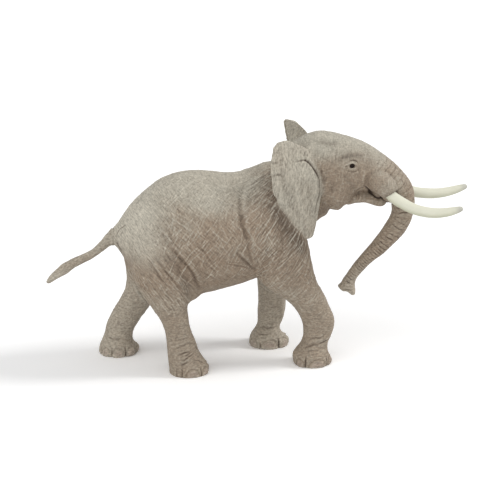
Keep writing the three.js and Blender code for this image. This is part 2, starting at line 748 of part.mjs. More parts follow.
function headSolid() {
  const sheaths = SIDES.map(({ side }) => loft(sheathStations(side), { sides: 14, steps: 2 }));
  const front = joined(skull, neck, intoHeadFrame(barrel), ...sheaths);
  const trunkSeam = headPoint(trunkShares[0][0], trunkSeamShare, 0);
  const underTrunkSeam = past(trunkSeam, DOWN).intersect(past(headPoint(jawEndShare, 0, 0), AHEAD));
  let solid = front.intersect(intoHeadFrame(past(neckSeamPoint, neckSeamNormal))).subtract(underTrunkSeam);
  solid = solid.add(intoHeadFrame(spigot.peg)).subtract(trunkFastening.hole).subtract(jaw(glueGap));
  for (const { side } of SIDES) {
    solid = solid.subtract(tuskOf(side).socket);
    solid = solid.subtract(earOf(side, glueGap)).subtract(earTab(side, glueGap));
  }
  return solid;
}

// Painted PVC skin and tusks
const skinColour = "#a89f93";
const earColour = "#b3aaa0";
const tuskColour = "#e4e0cf";
const skinRoughness = 0.75;
const tuskRoughness = 0.45;

function mesh(name, solid, color, roughness) {
  const material = new THREE.MeshStandardMaterial({ color, roughness, metalness: 0 });
  const piece = new THREE.Mesh(geometryOf(solid), material);
  piece.name = name;
  return piece;
}

const skin = (name, solid) => mesh(name, solid, skinColour, skinRoughness);
const head = headSolid();

headGroup.add(skin("head", head), skin("trunk", trunk), skin("lower_jaw", jaw(0)));
for (const { word, side } of SIDES) {
  const ear = earOf(side, 0).subtract(head).add(earTab(side, 0));
  headGroup.add(mesh(`ear_${word}`, ear, earColour, skinRoughness));
  headGroup.add(mesh(`tusk_${word}`, tuskOf(side).solid, tuskColour, tuskRoughness));
}

const animal = new THREE.Group();
animal.add(headGroup, skin("tail", tail));
for (const { word, side } of SIDES) {
  animal.add(skin(`torso_shell_${word}`, bodyHalf(side)));
}
for (const leg of legs) {
  animal.add(skin(leg.name, leg.solid));
}

// The origin lies on the ground, under the middle of the whole figure
const extent = new THREE.Box3().setFromObject(animal);
const middle = extent.getCenter(new THREE.Vector3());
animal.position.set(-middle.x, -middle.y, -extent.min.z);

const figure = new THREE.Group();
figure.add(animal);

export default figure;
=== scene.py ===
"""Toy elephant figure: the moulded and painted skin, ivory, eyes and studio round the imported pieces."""

import math
from functools import partial
from itertools import compress

import bmesh
import bpy
import numpy as np
from bpy.props import FloatProperty, FloatVectorProperty, IntProperty, PointerProperty
from mathutils import Matrix, Vector, noise
from mathutils.bvhtree import BVHTree


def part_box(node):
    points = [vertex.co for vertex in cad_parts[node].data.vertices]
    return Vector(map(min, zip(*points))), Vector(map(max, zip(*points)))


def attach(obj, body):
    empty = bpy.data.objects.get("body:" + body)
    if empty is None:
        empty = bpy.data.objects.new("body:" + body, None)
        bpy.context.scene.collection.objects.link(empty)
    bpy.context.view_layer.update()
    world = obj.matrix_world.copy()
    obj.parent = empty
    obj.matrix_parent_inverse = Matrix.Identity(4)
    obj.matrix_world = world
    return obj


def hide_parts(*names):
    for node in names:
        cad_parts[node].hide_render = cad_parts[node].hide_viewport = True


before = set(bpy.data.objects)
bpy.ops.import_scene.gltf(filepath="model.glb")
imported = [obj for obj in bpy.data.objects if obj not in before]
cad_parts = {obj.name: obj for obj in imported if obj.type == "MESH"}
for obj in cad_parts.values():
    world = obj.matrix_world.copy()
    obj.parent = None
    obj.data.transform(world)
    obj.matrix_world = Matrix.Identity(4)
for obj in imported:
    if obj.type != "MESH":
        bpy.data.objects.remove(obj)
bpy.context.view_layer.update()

bl_info = {
    "name": "Toy elephant figure",
    "version": (1, 0, 0),
    "blender": (4, 5, 0),
    "location": "3D View > Sidebar > Figure",
    "description": "Casts, carves and paints a moulded elephant figure over its construction pieces",
    "category": "Object",
}

MM = 0.001

# Pieces under the skin, in the order that their numbers are stored on the cast
TORSO = ["torso_shell_right", "torso_shell_left"]
FORELEGS = ["leg_front_right", "leg_front_left"]
HIND_LEGS = ["leg_hind_right", "leg_hind_left"]
LEGS = FORELEGS + HIND_LEGS
EARS = ["ear_right", "ear_left"]
FACE = ["head", "lower_jaw"]
TUSKS = {"tusk_right": -1, "tusk_left": 1}
SKIN_NODES = TORSO + LEGS + FACE + ["trunk", "tail"] + EARS + list(TUSKS)

# The photograph's frame in pixels and the camera that took it
PHOTO_SIDE = 480
PHOTO_FOCAL = 2000
SENSOR = 36.0
CAMERA_AZIMUTH = math.radians(-11)
CAMERA_ELEVATION = math.radians(16.5)
CAMERA_DISTANCE = 1000
CAMERA_AIM = Vector((-9.25, 7.41, 61.23))
CAMERA_BACK = Vector(
    (
        math.sin(CAMERA_AZIMUTH) * math.cos(CAMERA_ELEVATION),
        -math.cos(CAMERA_AZIMUTH) * math.cos(CAMERA_ELEVATION),
        math.sin(CAMERA_ELEVATION),
    )
)
CAMERA_TURN = CAMERA_BACK.to_track_quat("Z", "Y")
CAMERA_PLACE = CAMERA_AIM + CAMERA_BACK * CAMERA_DISTANCE
CAMERA_RIGHT = np.array(CAMERA_TURN @ Vector((1, 0, 0)))
CAMERA_WAY = np.array(CAMERA_BACK)

# Middle plane of the body, and the head's own frame, turned to the animal's right; in millimetres
GLUE_GAP = 0.3
BODY_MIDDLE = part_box("torso_shell_left")[0].y / MM - GLUE_GAP / 2
HEAD_PIVOT = np.array((16.02, BODY_MIDDLE, 0.0))
HEAD_TURN = math.radians(17)
HEAD_AHEAD = np.array((math.cos(HEAD_TURN), -math.sin(HEAD_TURN), 0.0))
HEAD_LEFT = np.array((math.sin(HEAD_TURN), math.cos(HEAD_TURN), 0.0))
UP = np.array((0.0, 0.0, 1.0))


class FigureSizes(bpy.types.PropertyGroup):
    """Sizes of the cast and its carving, in millimetres"""

    voxel: FloatProperty(name="Cast grain", description="Size of the cast's faces", default=0.38)
    swell: FloatProperty(name="Seam overlap", description="Growth that closes the seams", default=0.26)
    rounds: IntProperty(name="Rounding", description="Rounds of smoothing over the facets", default=70)
    hatch_height: FloatProperty(name="Hatch height", description="Height of the fine ridges", default=0.9)
    hatch_width: FloatProperty(name="Hatch width", description="Half width of a fine ridge", default=0.27)
    ring_depth: FloatProperty(name="Ring depth", description="Depth of the trunk's rings", default=0.36)
    ring_spacing: FloatProperty(name="Ring spacing", description="Between two trunk rings", default=2.6)
    nail_height: FloatProperty(name="Nail height", description="Height of a toenail", default=3.4)
    eye_radius: FloatProperty(name="Eye radius", description="Half the width of an eyeball", default=1.7)


def linear(code):
    """The linear colour of an sRGB hex value."""
    parts = [int(code[k : k + 2], 16) / 255 for k in (1, 3, 5)]
    return tuple(c / 12.92 if c <= 0.04045 else ((c + 0.055) / 1.055) ** 2.4 for c in parts) + (1.0,)


PAINTS = {
    "skin": ("Skin grey", "Sprayed body colour", "#ada799"),
    # Warm paint: browner and darker low on the body, partly the figure's own paint and partly painted shade
    "warm": ("Warm wash", "Brown wash low on the body and in the folds", "#8f7c69"),
    # Dark paint: wash and painted shade in the creases, and the soft patches of painted shade
    "dark": ("Crease wash", "Darkest wash in the creases", "#493d33"),
    # Pale paint: painted light on tops, the rump, the far ear and the far legs; on ridges partly dry
    # brushing and partly painted highlight
    "pale": ("Dry brush", "Pale paint caught by the ridges", "#c9c3b4"),
    "nail": ("Toenails", "Toenail paint", "#a8958a"),
    "ivory": ("Ivory", "Tusk colour", "#e6e5d2"),
    "ivory_shade": ("Ivory shade", "Greenish shade under the tusks", "#bfc0a4"),
    "ivory_tip": ("Ivory tip", "Greyer paint at the tusk's tip", "#b9b8ae"),
    "eye": ("Eye", "Eye enamel", "#1a100c"),
    "eye_rim": ("Eye rim", "Brown rim of the eye", "#4a3227"),
}


class FigureColours(bpy.types.PropertyGroup):
    """Paints of the figure, as linear colours made from sRGB hex values"""


FigureColours.__annotations__ = {
    key: FloatVectorProperty(name=label, description=meaning, subtype="COLOR", size=4, default=linear(code))
    for key, (label, meaning, code) in PAINTS.items()
}


def sizes():
    """The figure's sizes, as they are set in the scene."""
    return bpy.context.scene.figure_sizes


def paint(key):
    """One of the figure's paints, as it is set in the scene."""
    return tuple(getattr(bpy.context.scene.figure_colours, key))


# Curves and fields on arrays of points, in millimetres
def fade(values, start, end):
    """0 at start and 1 at end, smoothly."""
    share = np.clip((values - start) / (end - start), 0, 1)
    return share * share * (3 - 2 * share)


def hill(values, middle, width):
    """1 at the middle, and smoothly down to nearly 0 at twice the width from it."""
    return np.exp(-(((values - middle) / width) ** 2))


def curve(points, step):
    """Points closer than step on a smooth curve through a few given ones."""
    points = np.asarray(points, float)
    padded = np.vstack([2 * points[0] - points[1], points, 2 * points[-1] - points[-2]])
    made = []
    for a, b, c, d in zip(padded, padded[1:], padded[2:], padded[3:]):
        count = max(int(np.linalg.norm(c - b) / step), 1)
        for t in np.arange(count) / count:
            made.append(b + 0.5 * t * (c - a + t * (2 * a - 5 * b + 4 * c - d + t * (3 * (b - c) + d - a))))
    made.append(points[-1])
    return np.array(made)


def along_path(points, path, reach):
    """Points within reach of a path: their numbers, distance, place along it and offset from it."""
    inside = ((points > path.min(0) - reach) & (points < path.max(0) + reach)).all(1)
    chosen = np.flatnonzero(inside)
    spots = points[chosen]
    nearest = np.full(len(chosen), np.inf)
    place = np.zeros(len(chosen))
    offset = np.zeros((len(chosen), 3))
    covered = 0.0
    for start, end in zip(path, path[1:]):
        way = end - start
        length = np.linalg.norm(way) + 1e-9
        share = np.clip((spots - start) @ way / length**2, 0, 1)
        apart = spots - start - share[:, None] * way
        distance = np.linalg.norm(apart, axis=1)
        closer = distance < nearest
        nearest[closer] = distance[closer]
        place[closer] = covered + share[closer] * length
        offset[closer] = apart[closer]
        covered += length
    close = nearest < reach
    return chosen[close], nearest[close], place[close], offset[close], covered


def noise_field(points):
    """Smooth noise from -1 to 1 at each point; one cell is 1 long."""
    return np.fromiter((noise.noise(p) for p in points.tolist()), float, len(points))


def turned(slope):
    """A way in the side view, at a slope in degrees that rises towards the head."""
    angle = math.radians(slope)
    return np.array((math.cos(angle), 0.0, math.sin(angle)))


def turned_by(angle, turn):
    """How far angles in degrees are turned past another one, in radians either way."""
    return np.radians((angle - turn + 180) % 360 - 180)


def head_place(ahead, left, height):
    """A point given in the head's own frame."""
    return HEAD_PIVOT + ahead * HEAD_AHEAD + left * HEAD_LEFT + height * UP


def neighbour_sums(first, second, values):
    """The sum of the values at each point's neighbours; first and second number the ends of the edges."""
    count = len(values)
    return np.bincount(first, values[second], count) + np.bincount(second, values[first], count)


def column(rows, name, width, kind=float):
    """One property of all of a mesh's points, edges or corners, as an array."""
    found = np.zeros(len(rows) * width, kind)
    rows.foreach_get(name, found)
    return found.reshape(-1, width) if width > 1 else found


def corners_of(mesh):
    """A mesh's points in millimetres."""
    return column(mesh.vertices, "co", 3) / MM


class Cast:
    """The skin as arrays: points in millimetres, their pieces, heights still to be carved and paint."""

    def __init__(self, mesh):
        self.mesh = mesh
        self.points = corners_of(mesh)
        self.edges = column(mesh.edges, "vertices", 2, np.int32)
        self.links = np.bincount(self.edges.ravel(), minlength=len(self.points))
        self.rise, self.crease, self.stain, self.nail = np.zeros((4, len(self.points)))
        self.owner = piece_numbers(self.points)

    def on(self, names):
        """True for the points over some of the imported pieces."""
        return np.isin(self.owner, [SKIN_NODES.index(name) for name in names])

    def places(self):
        """Where each point is: along the body, in height and ahead in the head's frame."""
        x, y, z = self.points.T
        return {"x": x, "z": z, "ahead": (self.points - HEAD_PIVOT) @ HEAD_AHEAD}

    def share(self, names, fades):
        """1 on some of the pieces, fading out by place, and 0 on the others."""
        places = self.places()
        share = self.on(names) * 1.0
        for axis, start, end in fades:
            share *= fade(places[axis], start, end)
        return share

    def averaged(self, values, rounds=1):
        """Each point's mean of its neighbours, over and over."""
        first, second = self.edges.T
        rows = np.atleast_2d(values.T)
        for _ in range(rounds):
            rows = np.array([neighbour_sums(first, second, row) for row in rows]) / self.links
        return rows.T if values.ndim > 1 else rows[0]

    def relax(self, rounds, strength):
        """Moves points towards the mean of their neighbours; where the strength is 0 they stay."""
        used, links = np.unique(self.edges[(strength[self.edges] > 0).any(1)], return_inverse=True)
        first, second = links.reshape(-1, 2).T
        count = np.bincount(links.ravel())
        share = strength[used]
        rows = self.points[used].T.copy()
        for _ in range(rounds):
            for row in rows:
                row += (neighbour_sums(first, second, row) / count - row) * share
        self.points[used] = rows.T

    def normals(self):
        """Moves the mesh to the points, and reads its normals."""
        self.mesh.vertices.foreach_set("co", (self.points * MM).ravel())
        self.mesh.update()
        return column(self.mesh.vertex_normals, "vector", 3)

    def grow_tree(self):
        """The surface that strokes are laid on."""
        faces = [tuple(p.vertices) for p in self.mesh.polygons]
        self.tree = BVHTree.FromPolygons(self.points.tolist(), faces)

    def seen_at(self, pixel):
        """The place on the skin that shows at a pixel of the photograph."""
        across, down = pixel
        ray = Vector((across - PHOTO_SIDE / 2, PHOTO_SIDE / 2 - down, -PHOTO_FOCAL))
        hit = self.tree.ray_cast(CAMERA_PLACE, CAMERA_TURN @ ray)[0]
        return None if hit is None else np.array(hit)

    def path_at(self, pixels):
        """A line drawn on the photograph, laid on the skin."""
        found = [self.seen_at(pixel) for pixel in curve(pixels, 1.5)]
        return np.array([p for p in found if p is not None])

    def mirrored(self, path, in_head):
        """The same line on the other side of the body or of the head."""
        normal = HEAD_LEFT if in_head else np.array((0.0, 1.0, 0.0))
        across = (path - HEAD_PIVOT) @ normal
        flipped = path - 2 * across[:, None] * normal
        return np.array([np.array(self.tree.find_nearest(p)[0]) for p in flipped])

    def both_sides(self, pixels, in_head):
        """A line drawn on the photograph, on the near side and on the far one."""
        path = self.path_at(pixels)
        return [path, self.mirrored(path, in_head)] if len(path) > 1 else []

    def groove(self, path, width, depth, wash, lip=0.0, lip_way=UP):
        """A crease along a path, fading at its ends, with a raised lip on the side of lip_way."""
        chosen, distance, place, offset, total = along_path(self.points, path, 4 * width)
        taper = np.sqrt(np.sin(np.pi * np.clip(place / total, 0.02, 0.98)))
        self.rise[chosen] -= depth * taper * hill(distance, 0, width)
        # Darker paint along the crease: the figure's wash and painted shade
        self.crease[chosen] += wash * taper * hill(distance, 0, 0.85 * width)
        side = offset @ (np.asarray(lip_way, float) / np.linalg.norm(lip_way))
        self.rise[chosen] += lip * taper * hill(side, 1.7 * width, 1.2 * width) * (side > 0)

    def shade(self, path, width, amount):
        """A soft dark patch of paint along a path, for painted shade and darker mottles."""
        chosen, distance, *rest = along_path(self.points, path, 3 * width)
        self.stain[chosen] += amount * hill(distance, 0, width)

    def near(self, centre, radius):
        """1 at a place, and smoothly down to nearly 0 at twice the radius from it."""
        return np.exp(-(((self.points - centre) / radius) ** 2).sum(1))

    def bump(self, centre, radius, height):
        """A soft round swelling, or a hollow where the height is negative."""
        self.rise += height * self.near(centre, radius)

    def pull(self, centre, radius, way):
        """Draws the skin along a way round a place."""
        self.points += self.near(centre, radius)[:, None] * np.asarray(way)

    def apply(self):
        """Carves the heights into the points, none of which goes below the ground."""
        self.points += self.normals() * self.rise[:, None]
        self.points[:, 2] = np.maximum(self.points[:, 2], 0)
        self.rise[:] = 0


def made_mesh(work, name):
    """A new mesh from a bmesh that is done."""
    mesh = bpy.data.meshes.new(name)
    work.to_mesh(mesh)
    work.free()
    return mesh


def placed(name, data):
    """A new object in the scene."""
    made = bpy.data.objects.new(name, data)
    bpy.context.scene.collection.objects.link(made)
    return made


# Balls on the middle plane that close the joints of tail and neck: x, height and radius
JOINTS = [(-69.0, 70.3, 4.5), (-71.5, 67.8, 4.2), (-75.2, 65.6, 2.7), (12.8, 98.9, 3.3)]


def cast_skin():
    """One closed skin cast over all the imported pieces."""
    work = bmesh.new()
    for name in SKIN_NODES:
        work.from_mesh(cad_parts[name].data)
    bmesh.ops.remove_doubles(work, verts=work.verts, dist=0.001 * MM)
    work.normal_update()
    for vertex in work.verts:
        vertex.co += vertex.normal * sizes().swell * MM
    for x, height, radius in JOINTS:
        place = Matrix.Translation(Vector((x, BODY_MIDDLE, height)) * MM)
        bmesh.ops.create_icosphere(work, subdivisions=3, radius=radius * MM, matrix=place)
    holder = placed("cast", made_mesh(work, "cast"))
    remesh = holder.modifiers.new("cast", "REMESH")
    remesh.mode = "VOXEL"
    remesh.voxel_size = sizes().voxel * MM
    made = bpy.data.meshes.new_from_object(holder.evaluated_get(bpy.context.evaluated_depsgraph_get()))
    bpy.data.objects.remove(holder)
    keep_outside(made)
    return made


def keep_outside(mesh):
    """Takes away the closed walls of the hollows inside: only the shell with the highest point stays."""
    work = bmesh.new()
    work.from_mesh(mesh)
    reached = {max(work.verts, key=lambda v: v.co.z)}
    front = list(reached)
    while front:
        grown = {edge.other_vert(vertex) for vertex in front for edge in vertex.link_edges} - reached
        reached |= grown
        front = list(grown)
    bmesh.ops.delete(work, geom=[v for v in work.verts if v not in reached], context="VERTS")
    work.to_mesh(mesh)
    work.free()


def refine(mesh, spots, reach):
    """Finer faces round a few places."""
    work = bmesh.new()
    work.from_mesh(mesh)
    centres = [Vector(spot) * MM for spot in spots]
    near = {v for v in work.verts if any((v.co - c).length < reach * MM for c in centres)}
    edges = [e for e in work.edges if e.verts[0] in near and e.verts[1] in near]
    bmesh.ops.subdivide_edges(work, edges=edges, cuts=1, use_grid_fill=True)
    work.to_mesh(mesh)
    work.free()


def piece_numbers(points):
    """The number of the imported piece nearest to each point."""
    corners = []
    owners = []
    for number, name in enumerate(SKIN_NODES):
        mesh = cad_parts[name].data
        faces = column(mesh.loops, "vertex_index", 1, np.int32)
        corners.append(corners_of(mesh)[faces])
        owners += [number] * (len(faces) // 3)
    corners = np.concatenate(corners)
    triangles = [(k, k + 1, k + 2) for k in range(0, len(corners), 3)]
    tree = BVHTree.FromPolygons(corners.tolist(), triangles)
    return np.array([owners[tree.find_nearest(p)[2]] for p in points.tolist()])


def tusk_root(side):
    """The line of a tusk's root, where it leaves the head."""
    return np.array([head_place(a, side * o, h) for a, o, h, r in TUSK_STATIONS[2:6]])


def settle_pieces(skin):
    """Gives the thin skin over the tusks' roots to the tusks, and smooths the pieces' borders."""
    for name, side in TUSKS.items():
        chosen, *rest = along_path(skin.points, tusk_root(side), TUSK_BARED)
        skin.owner[chosen] = SKIN_NODES.index(name)
    votes = [skin.averaged((skin.owner == k) * 1.0, rounds=8) for k in range(len(SKIN_NODES))]
    skin.owner = np.argmax(votes, axis=0)


# How strongly the rounding works on each piece: thin ones keep their girth
ROUNDING_SHARES = {"head": 0.3, "trunk": 0.18, "lower_jaw": 0.16, "tail": 0.05}
ROUNDING_SHARES.update({name: 0.06 for name in [*EARS, *TUSKS]})
BODY_ROUNDING_SHARE = 0.5

# How far the smoothed cast is drawn in, to the solids' outline
DRAWN_IN = 0.24
# The soles stay flat up to the first height, and the rounding is full from the second
SOLE = 0.3
SOLE_EDGE = 2.5
# Nothing is carved below this height
SOLE_UNCARVED = 0.25
# How much dark paint lies in a hollow of the carving one millimetre deep, and pale paint on a ridge: partly
# the figure's wash, partly painted shade and highlight
CAVITY_WASH_AND_SHADE = 3.5

# Where the ears run smoothly into the head and the tail into the rump: pixels, in the head, reach, rounds
ROOTS = [
    ([(299, 143), (304, 146.5), (308.5, 151.5)], True, 6, 160),
    ([(119, 225), (114, 230), (113.3, 238), (114, 245)], False, 5.5, 40),
]
# Where the head runs into the back: a line across the nape, with its reach and rounds
NAPE = np.array([(14.5, BODY_MIDDLE + left, 102 - 0.035 * left**2) for left in (-12, -8, -4, 0, 4, 8, 12)])
NAPE_REACH = 4.0
NAPE_ROUNDS = 40

# Creases drawn on the photograph: pixels, width, depth, wash with painted shade (paler where negative), and
# where there is a lip its height and side
BODY_FOLDS = [
    ([(246, 180), (240, 199), (240, 212), (243, 227), (248, 241), (250, 255), (256, 270)],
     1.3, 0.6, 0.25, 0.7, (1, 0, 0)),
    ([(243, 206), (241, 216), (246, 234)], 2.6, 0.3, 0.05),
    ([(236, 253), (244, 260), (250, 266), (256, 271)], 0.8, 0.5, 0.6, 0.2, (0.5, 0, 1)),
    ([(226, 264), (238, 266), (248, 268)], 0.6, 0.3, 0.5, 0.1),
    ([(169, 246), (178, 256), (187, 267), (193, 275), (196, 283), (200, 289)],
     1.1, 1, 0.6, 0.6, (1, 0, 0.9)),
    ([(170, 258), (178, 267), (186, 279)], 2.2, 0.5, 0.2),
    ([(158, 262), (166, 272), (175, 283), (184, 294)], 0.8, 0.5, 0.4, 0.3, (1, 0, 1)),
    ([(150, 262), (159, 276), (168, 288)], 0.6, 0.35, 0.5, 0.15, (1, 0, 1)),
    ([(165, 252), (172, 262)], 0.6, 0.4, 0.5, 0.1, (1, 0, 1)),
    ([(196, 245), (204, 252), (210, 261), (216, 268)], 0.7, 0.3, 0.35, 0.1, (1, 0, 1)),
    ([(205, 262), (212, 269), (217, 275)], 0.6, 0.25, 0.3, 0.1, (1, 0, 1)),
    ([(168, 228), (171, 236), (174, 244)], 1.3, 0.45, 0.35, 0.2, (1, 0, 0)),
    ([(125, 224), (119, 228), (116, 233), (115, 240)], 0.5, 0.5, 1, 0.2, (1, 0, 0)),
    ([(122, 230), (119, 236)], 0.4, 0.3, 0.7, 0.1, (1, 0, 0)),
    ([(115, 242), (117, 247), (121, 252)], 0.9, 0.7, 1.4),
    ([(182, 293), (189, 294.5), (197, 291)], 0.8, 0.5, 0.8),
    ([(131, 279), (137, 290), (144, 301), (148, 306)], 0.9, -0.7, -0.5),
    ([(258, 276), (266, 288), (278, 294), (288, 299)], 0.9, -0.3, -0.3),
]
LIMB_FOLDS = [
    ([(184, 357), (188, 355), (191.5, 352)], 0.5, 0.4, 0.5, 0.2),
    ([(186, 358.5), (190.5, 356), (194, 353.5)], 0.45, 0.35, 0.4, 0.2),
    ([(183, 361.5), (185.5, 359.5), (189, 358)], 0.45, 0.35, 0.4, 0.2),
    ([(177, 356), (181, 354.6), (185.5, 352.8), (190, 351)], 0.5, 0.4, 0.6, 0.15),
    ([(173, 349), (180, 347), (188, 344), (194, 343)], 0.5, 0.25, 0.35, 0.1),
    ([(172, 341), (181, 340), (190, 336)], 0.5, 0.2, 0.25, 0.1),
    ([(181, 366), (185, 363.5), (189, 362)], 0.5, 0.4, 0.5, 0.3),
    ([(194, 360), (200, 361), (205, 364)], 0.5, 0.3, 0.4, 0.1),
    ([(195, 346), (198, 350)], 0.6, 0.5, 0.9, 0.1, (1, 0, -1)),
    ([(305, 348), (309, 346.5), (313, 344.8), (318, 344)], 0.6, 0.4, 0.6, 0.2),
    ([(319, 344), (324, 342), (328.5, 339.5)], 0.6, 0.55, 0.8, 0.3),
    ([(309, 339), (314, 338), (320, 338), (326, 334)], 0.5, 0.35, 0.5, 0.1),
    ([(306, 352), (312, 351), (319, 351)], 0.5, 0.25, 0.3, 0.1),
    ([(330, 313), (331.5, 319), (331, 326)], 2.6, -1, 0),
    ([(296, 304), (302, 314), (305, 324)], 2.2, -0.5, 0),
    ([(314, 312), (320, 318), (321, 326)], 1.6, 0.3, 0.15),
    ([(282, 301), (282.5, 311), (282, 321)], 1.7, -0.9, 0),
    ([(262, 326), (268, 328), (275, 327)], 0.5, 0.3, 0.5, 0.1),
    ([(258, 334), (265, 335), (273, 333)], 0.5, 0.3, 0.4, 0.1),
    ([(107, 336), (114, 339), (123, 338)], 0.5, 0.3, 0.4, 0.1),
]
HEAD_FOLDS = [
    ([(364, 185.5), (368, 189.5), (372, 193.5), (376, 196.7), (379, 197.9), (382, 197.5), (384.3, 199)],
     0.6, 1, 2.6, 0.25),
    ([(355.8, 192.5), (358.7, 189.4), (362.5, 187.9), (364.6, 188.6)], 0.7, 0.5, 0.4, 0.25, (-0.3, 0, 1)),
    ([(367, 187), (366.5, 180), (369.5, 175), (376, 171)], 1.4, 0.65, 0.15),
    ([(376, 171), (386, 171), (394, 178), (398, 187)], 1.2, 0.55, 0.15),
    ([(339.6, 159.6), (346.7, 156.6), (353.9, 154.8), (360.6, 155), (363.5, 157.5)], 1.3, 0.5, 0.2, 0.35),
    ([(349.1, 161.2), (351, 160.4), (353.9, 160.1), (356.8, 161.3), (358.4, 164)], 0.3, 0.32, 1.5, 0.12),
    ([(348, 165), (350, 163.5), (352.6, 162.9), (355.2, 163.6), (357, 165.8)], 0.45, -0.5, -0.6),
    ([(348.6, 167.9), (351, 169.2), (353.9, 169.2), (356.8, 167.6)], 0.4, -0.42, -0.5),
    ([(347, 170.3), (350.5, 171.8), (355, 171.8), (359, 169.4)], 0.3, 0.25, 0.9, 0.08, (0, 0, -1)),
    ([(345, 166), (347.6, 166.6)], 0.35, 0.3, 0.7),
    ([(325, 200), (335, 205), (345, 204), (353, 199)], 0.8, 0.3, 0.1),
]
EAR_FOLDS = [
    ([(296.5, 161.8), (301, 160.6), (305, 160.2), (308.5, 162.3), (312, 166), (315.5, 171), (318, 175.5)],
     0.6, 0.7, 1.2, 0.3, (1, 0, 0.5)),
    ([(313, 168), (316.5, 172.5), (319, 178), (319.8, 184), (320, 190)], 0.45, 0.3, 0.6),
    ([(320.3, 188), (320, 195), (317.8, 201), (316.2, 208), (315.6, 214)], 0.55, 0.4, 0.8),
    ([(321, 169.5), (321.8, 174.5)], 0.5, 0.35, 0.7),
    ([(281, 152), (280, 166), (284, 184), (292, 205), (300, 222)], 2, 0.6, 0.2),
    ([(292, 168), (295, 186), (301, 205), (307, 222)], 1.6, -0.55, -0.2),
    ([(302, 172), (307, 188), (311, 204)], 1.3, 0.5, 0.2),
    ([(271, 163), (277, 163), (281, 161)], 0.7, 0.5, 0.5, 0.2),
    ([(272, 177), (278, 175), (283, 176)], 0.7, 0.5, 0.5, 0.2),
]

# Soft dark patches, mostly painted shade with a few darker mottles: pixels, width and amount, on both sides
BODY_SHADES = [
    ([(262, 178), (268, 196), (276, 212), (288, 228), (298, 244)], 6.0, 0.47),
    ([(242, 222), (246, 236)], 3.0, 0.15),
    ([(268, 238), (284, 258), (296, 276)], 9.0, 0.2),
    ([(278, 212), (290, 231), (303, 248)], 4.5, 0.55),
    ([(240, 256), (252, 268)], 3.0, 0.3),
    ([(160, 228), (166, 240)], 4.0, 0.25),
    ([(170, 262), (184, 282)], 3.5, 0.3),
    ([(184, 288), (204, 288)], 2.0, 0.25),
    ([(117, 246), (120, 254)], 1.6, 0.5),
]
HEAD_SHADES = [
    ([(340, 159.5), (347, 157), (355, 156), (362, 157)], 1.3, 0.55),
    ([(322, 142), (329, 144), (335, 143)], 1.7, 0.5),
    ([(311, 164), (316, 171)], 1.3, 0.5),
    ([(322, 172), (324, 180)], 1.6, 0.4),
    ([(333, 184), (332, 190)], 1.5, 0.4),
    ([(346, 178), (352, 184), (353, 190)], 1.6, 0.3),
    ([(366, 150), (370, 158), (368, 166)], 1.8, 0.3),
    ([(321, 182), (320.5, 198), (318, 210)], 2.0, 0.45),
    ([(355, 194), (361, 190.5)], 1.3, 0.35),
    ([(316, 216), (322, 213), (330, 210)], 2.4, 0.45),
    ([(383.2, 200), (383.8, 204)], 0.7, 1.0),
]

# Middle line of the face, which the trunk's rings stand square to: ahead and height in the head's frame
FACE_LINE = [(24, 108), (34, 105), (43, 100), (50, 93), (54.5, 86)]
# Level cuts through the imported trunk, and how much of its top the face hides
TRUNK_CUTS = 12
TRUNK_HIDDEN = 8
# How far from the trunk's middle line the rings reach
TRUNK_REACH = 16

# The trunk's tip: how far above its lowest point its shaping, cut, pinch, finger and end begin
TIP_HEIGHT = 11
TIP_CUT = 9
TIP_PINCH = 6
TIP_FINGER = 7
TIP_END = 3
# How steeply the tip is cut across, how far its middle is squeezed and how level its finger is made
TIP_SLOPE = 0.42
TIP_SQUEEZE = 0.3
TIP_LEVELLING = 0.45

# How high the foot and the rim of its sole are
FOOT_HEIGHT = 12
FOOT_RIM = 1.5
# How far a toenail rises, how deep the groove round it is and how far the roll of skin outside it rises
NAIL_RISE = 0.3
NAIL_GROOVE = 0.22
NAIL_ROLL = 0.12
# Toenails: degrees round the sole from straight ahead to the left, and half widths in millimetres
NAILS = {
    "leg_front_right": [(-141, 2.4), (-84, 4.0), (-27, 2.9), (18, 2.4)],
    "leg_front_left": [(-148, 2.4), (-98, 3.8), (-48, 2.8), (-4, 2.6), (36, 2.2)],
    "leg_hind_right": [(-87, 3.4), (-40, 2.6), (-1, 2.5), (36, 2.3)],
    "leg_hind_left": [(-139, 2.3), (-101, 2.8), (-60, 2.8), (-17, 2.7), (24, 2.3)],
}
# Half the width of a crease between toes, its depth, and its darker paint: wash and painted shade
TOE_CREASE_WIDTH = 0.45
TOE_CREASE_DEPTH = 0.55
TOE_CREASE_WASH_AND_SHADE = 1.3
# Creases between the toes: degrees, height in millimetres and strength
TOE_CREASES = {
    "leg_front_right": [(-122, 7.0, 1.0), (-52, 6.0, 0.9)],
    "leg_front_left": [(-125, 4.0, 0.7), (-71, 5.5, 1.0)],
    "leg_hind_right": [(-139, 6.0, 0.5), (-121, 6.0, 0.6), (-59, 5.5, 0.9), (-20, 6.0, 0.8)],
    "leg_hind_left": [(-156, 5.0, 0.5), (-120, 5.0, 0.7), (-80, 5.5, 1.0), (-38, 5.0, 0.7)],
}

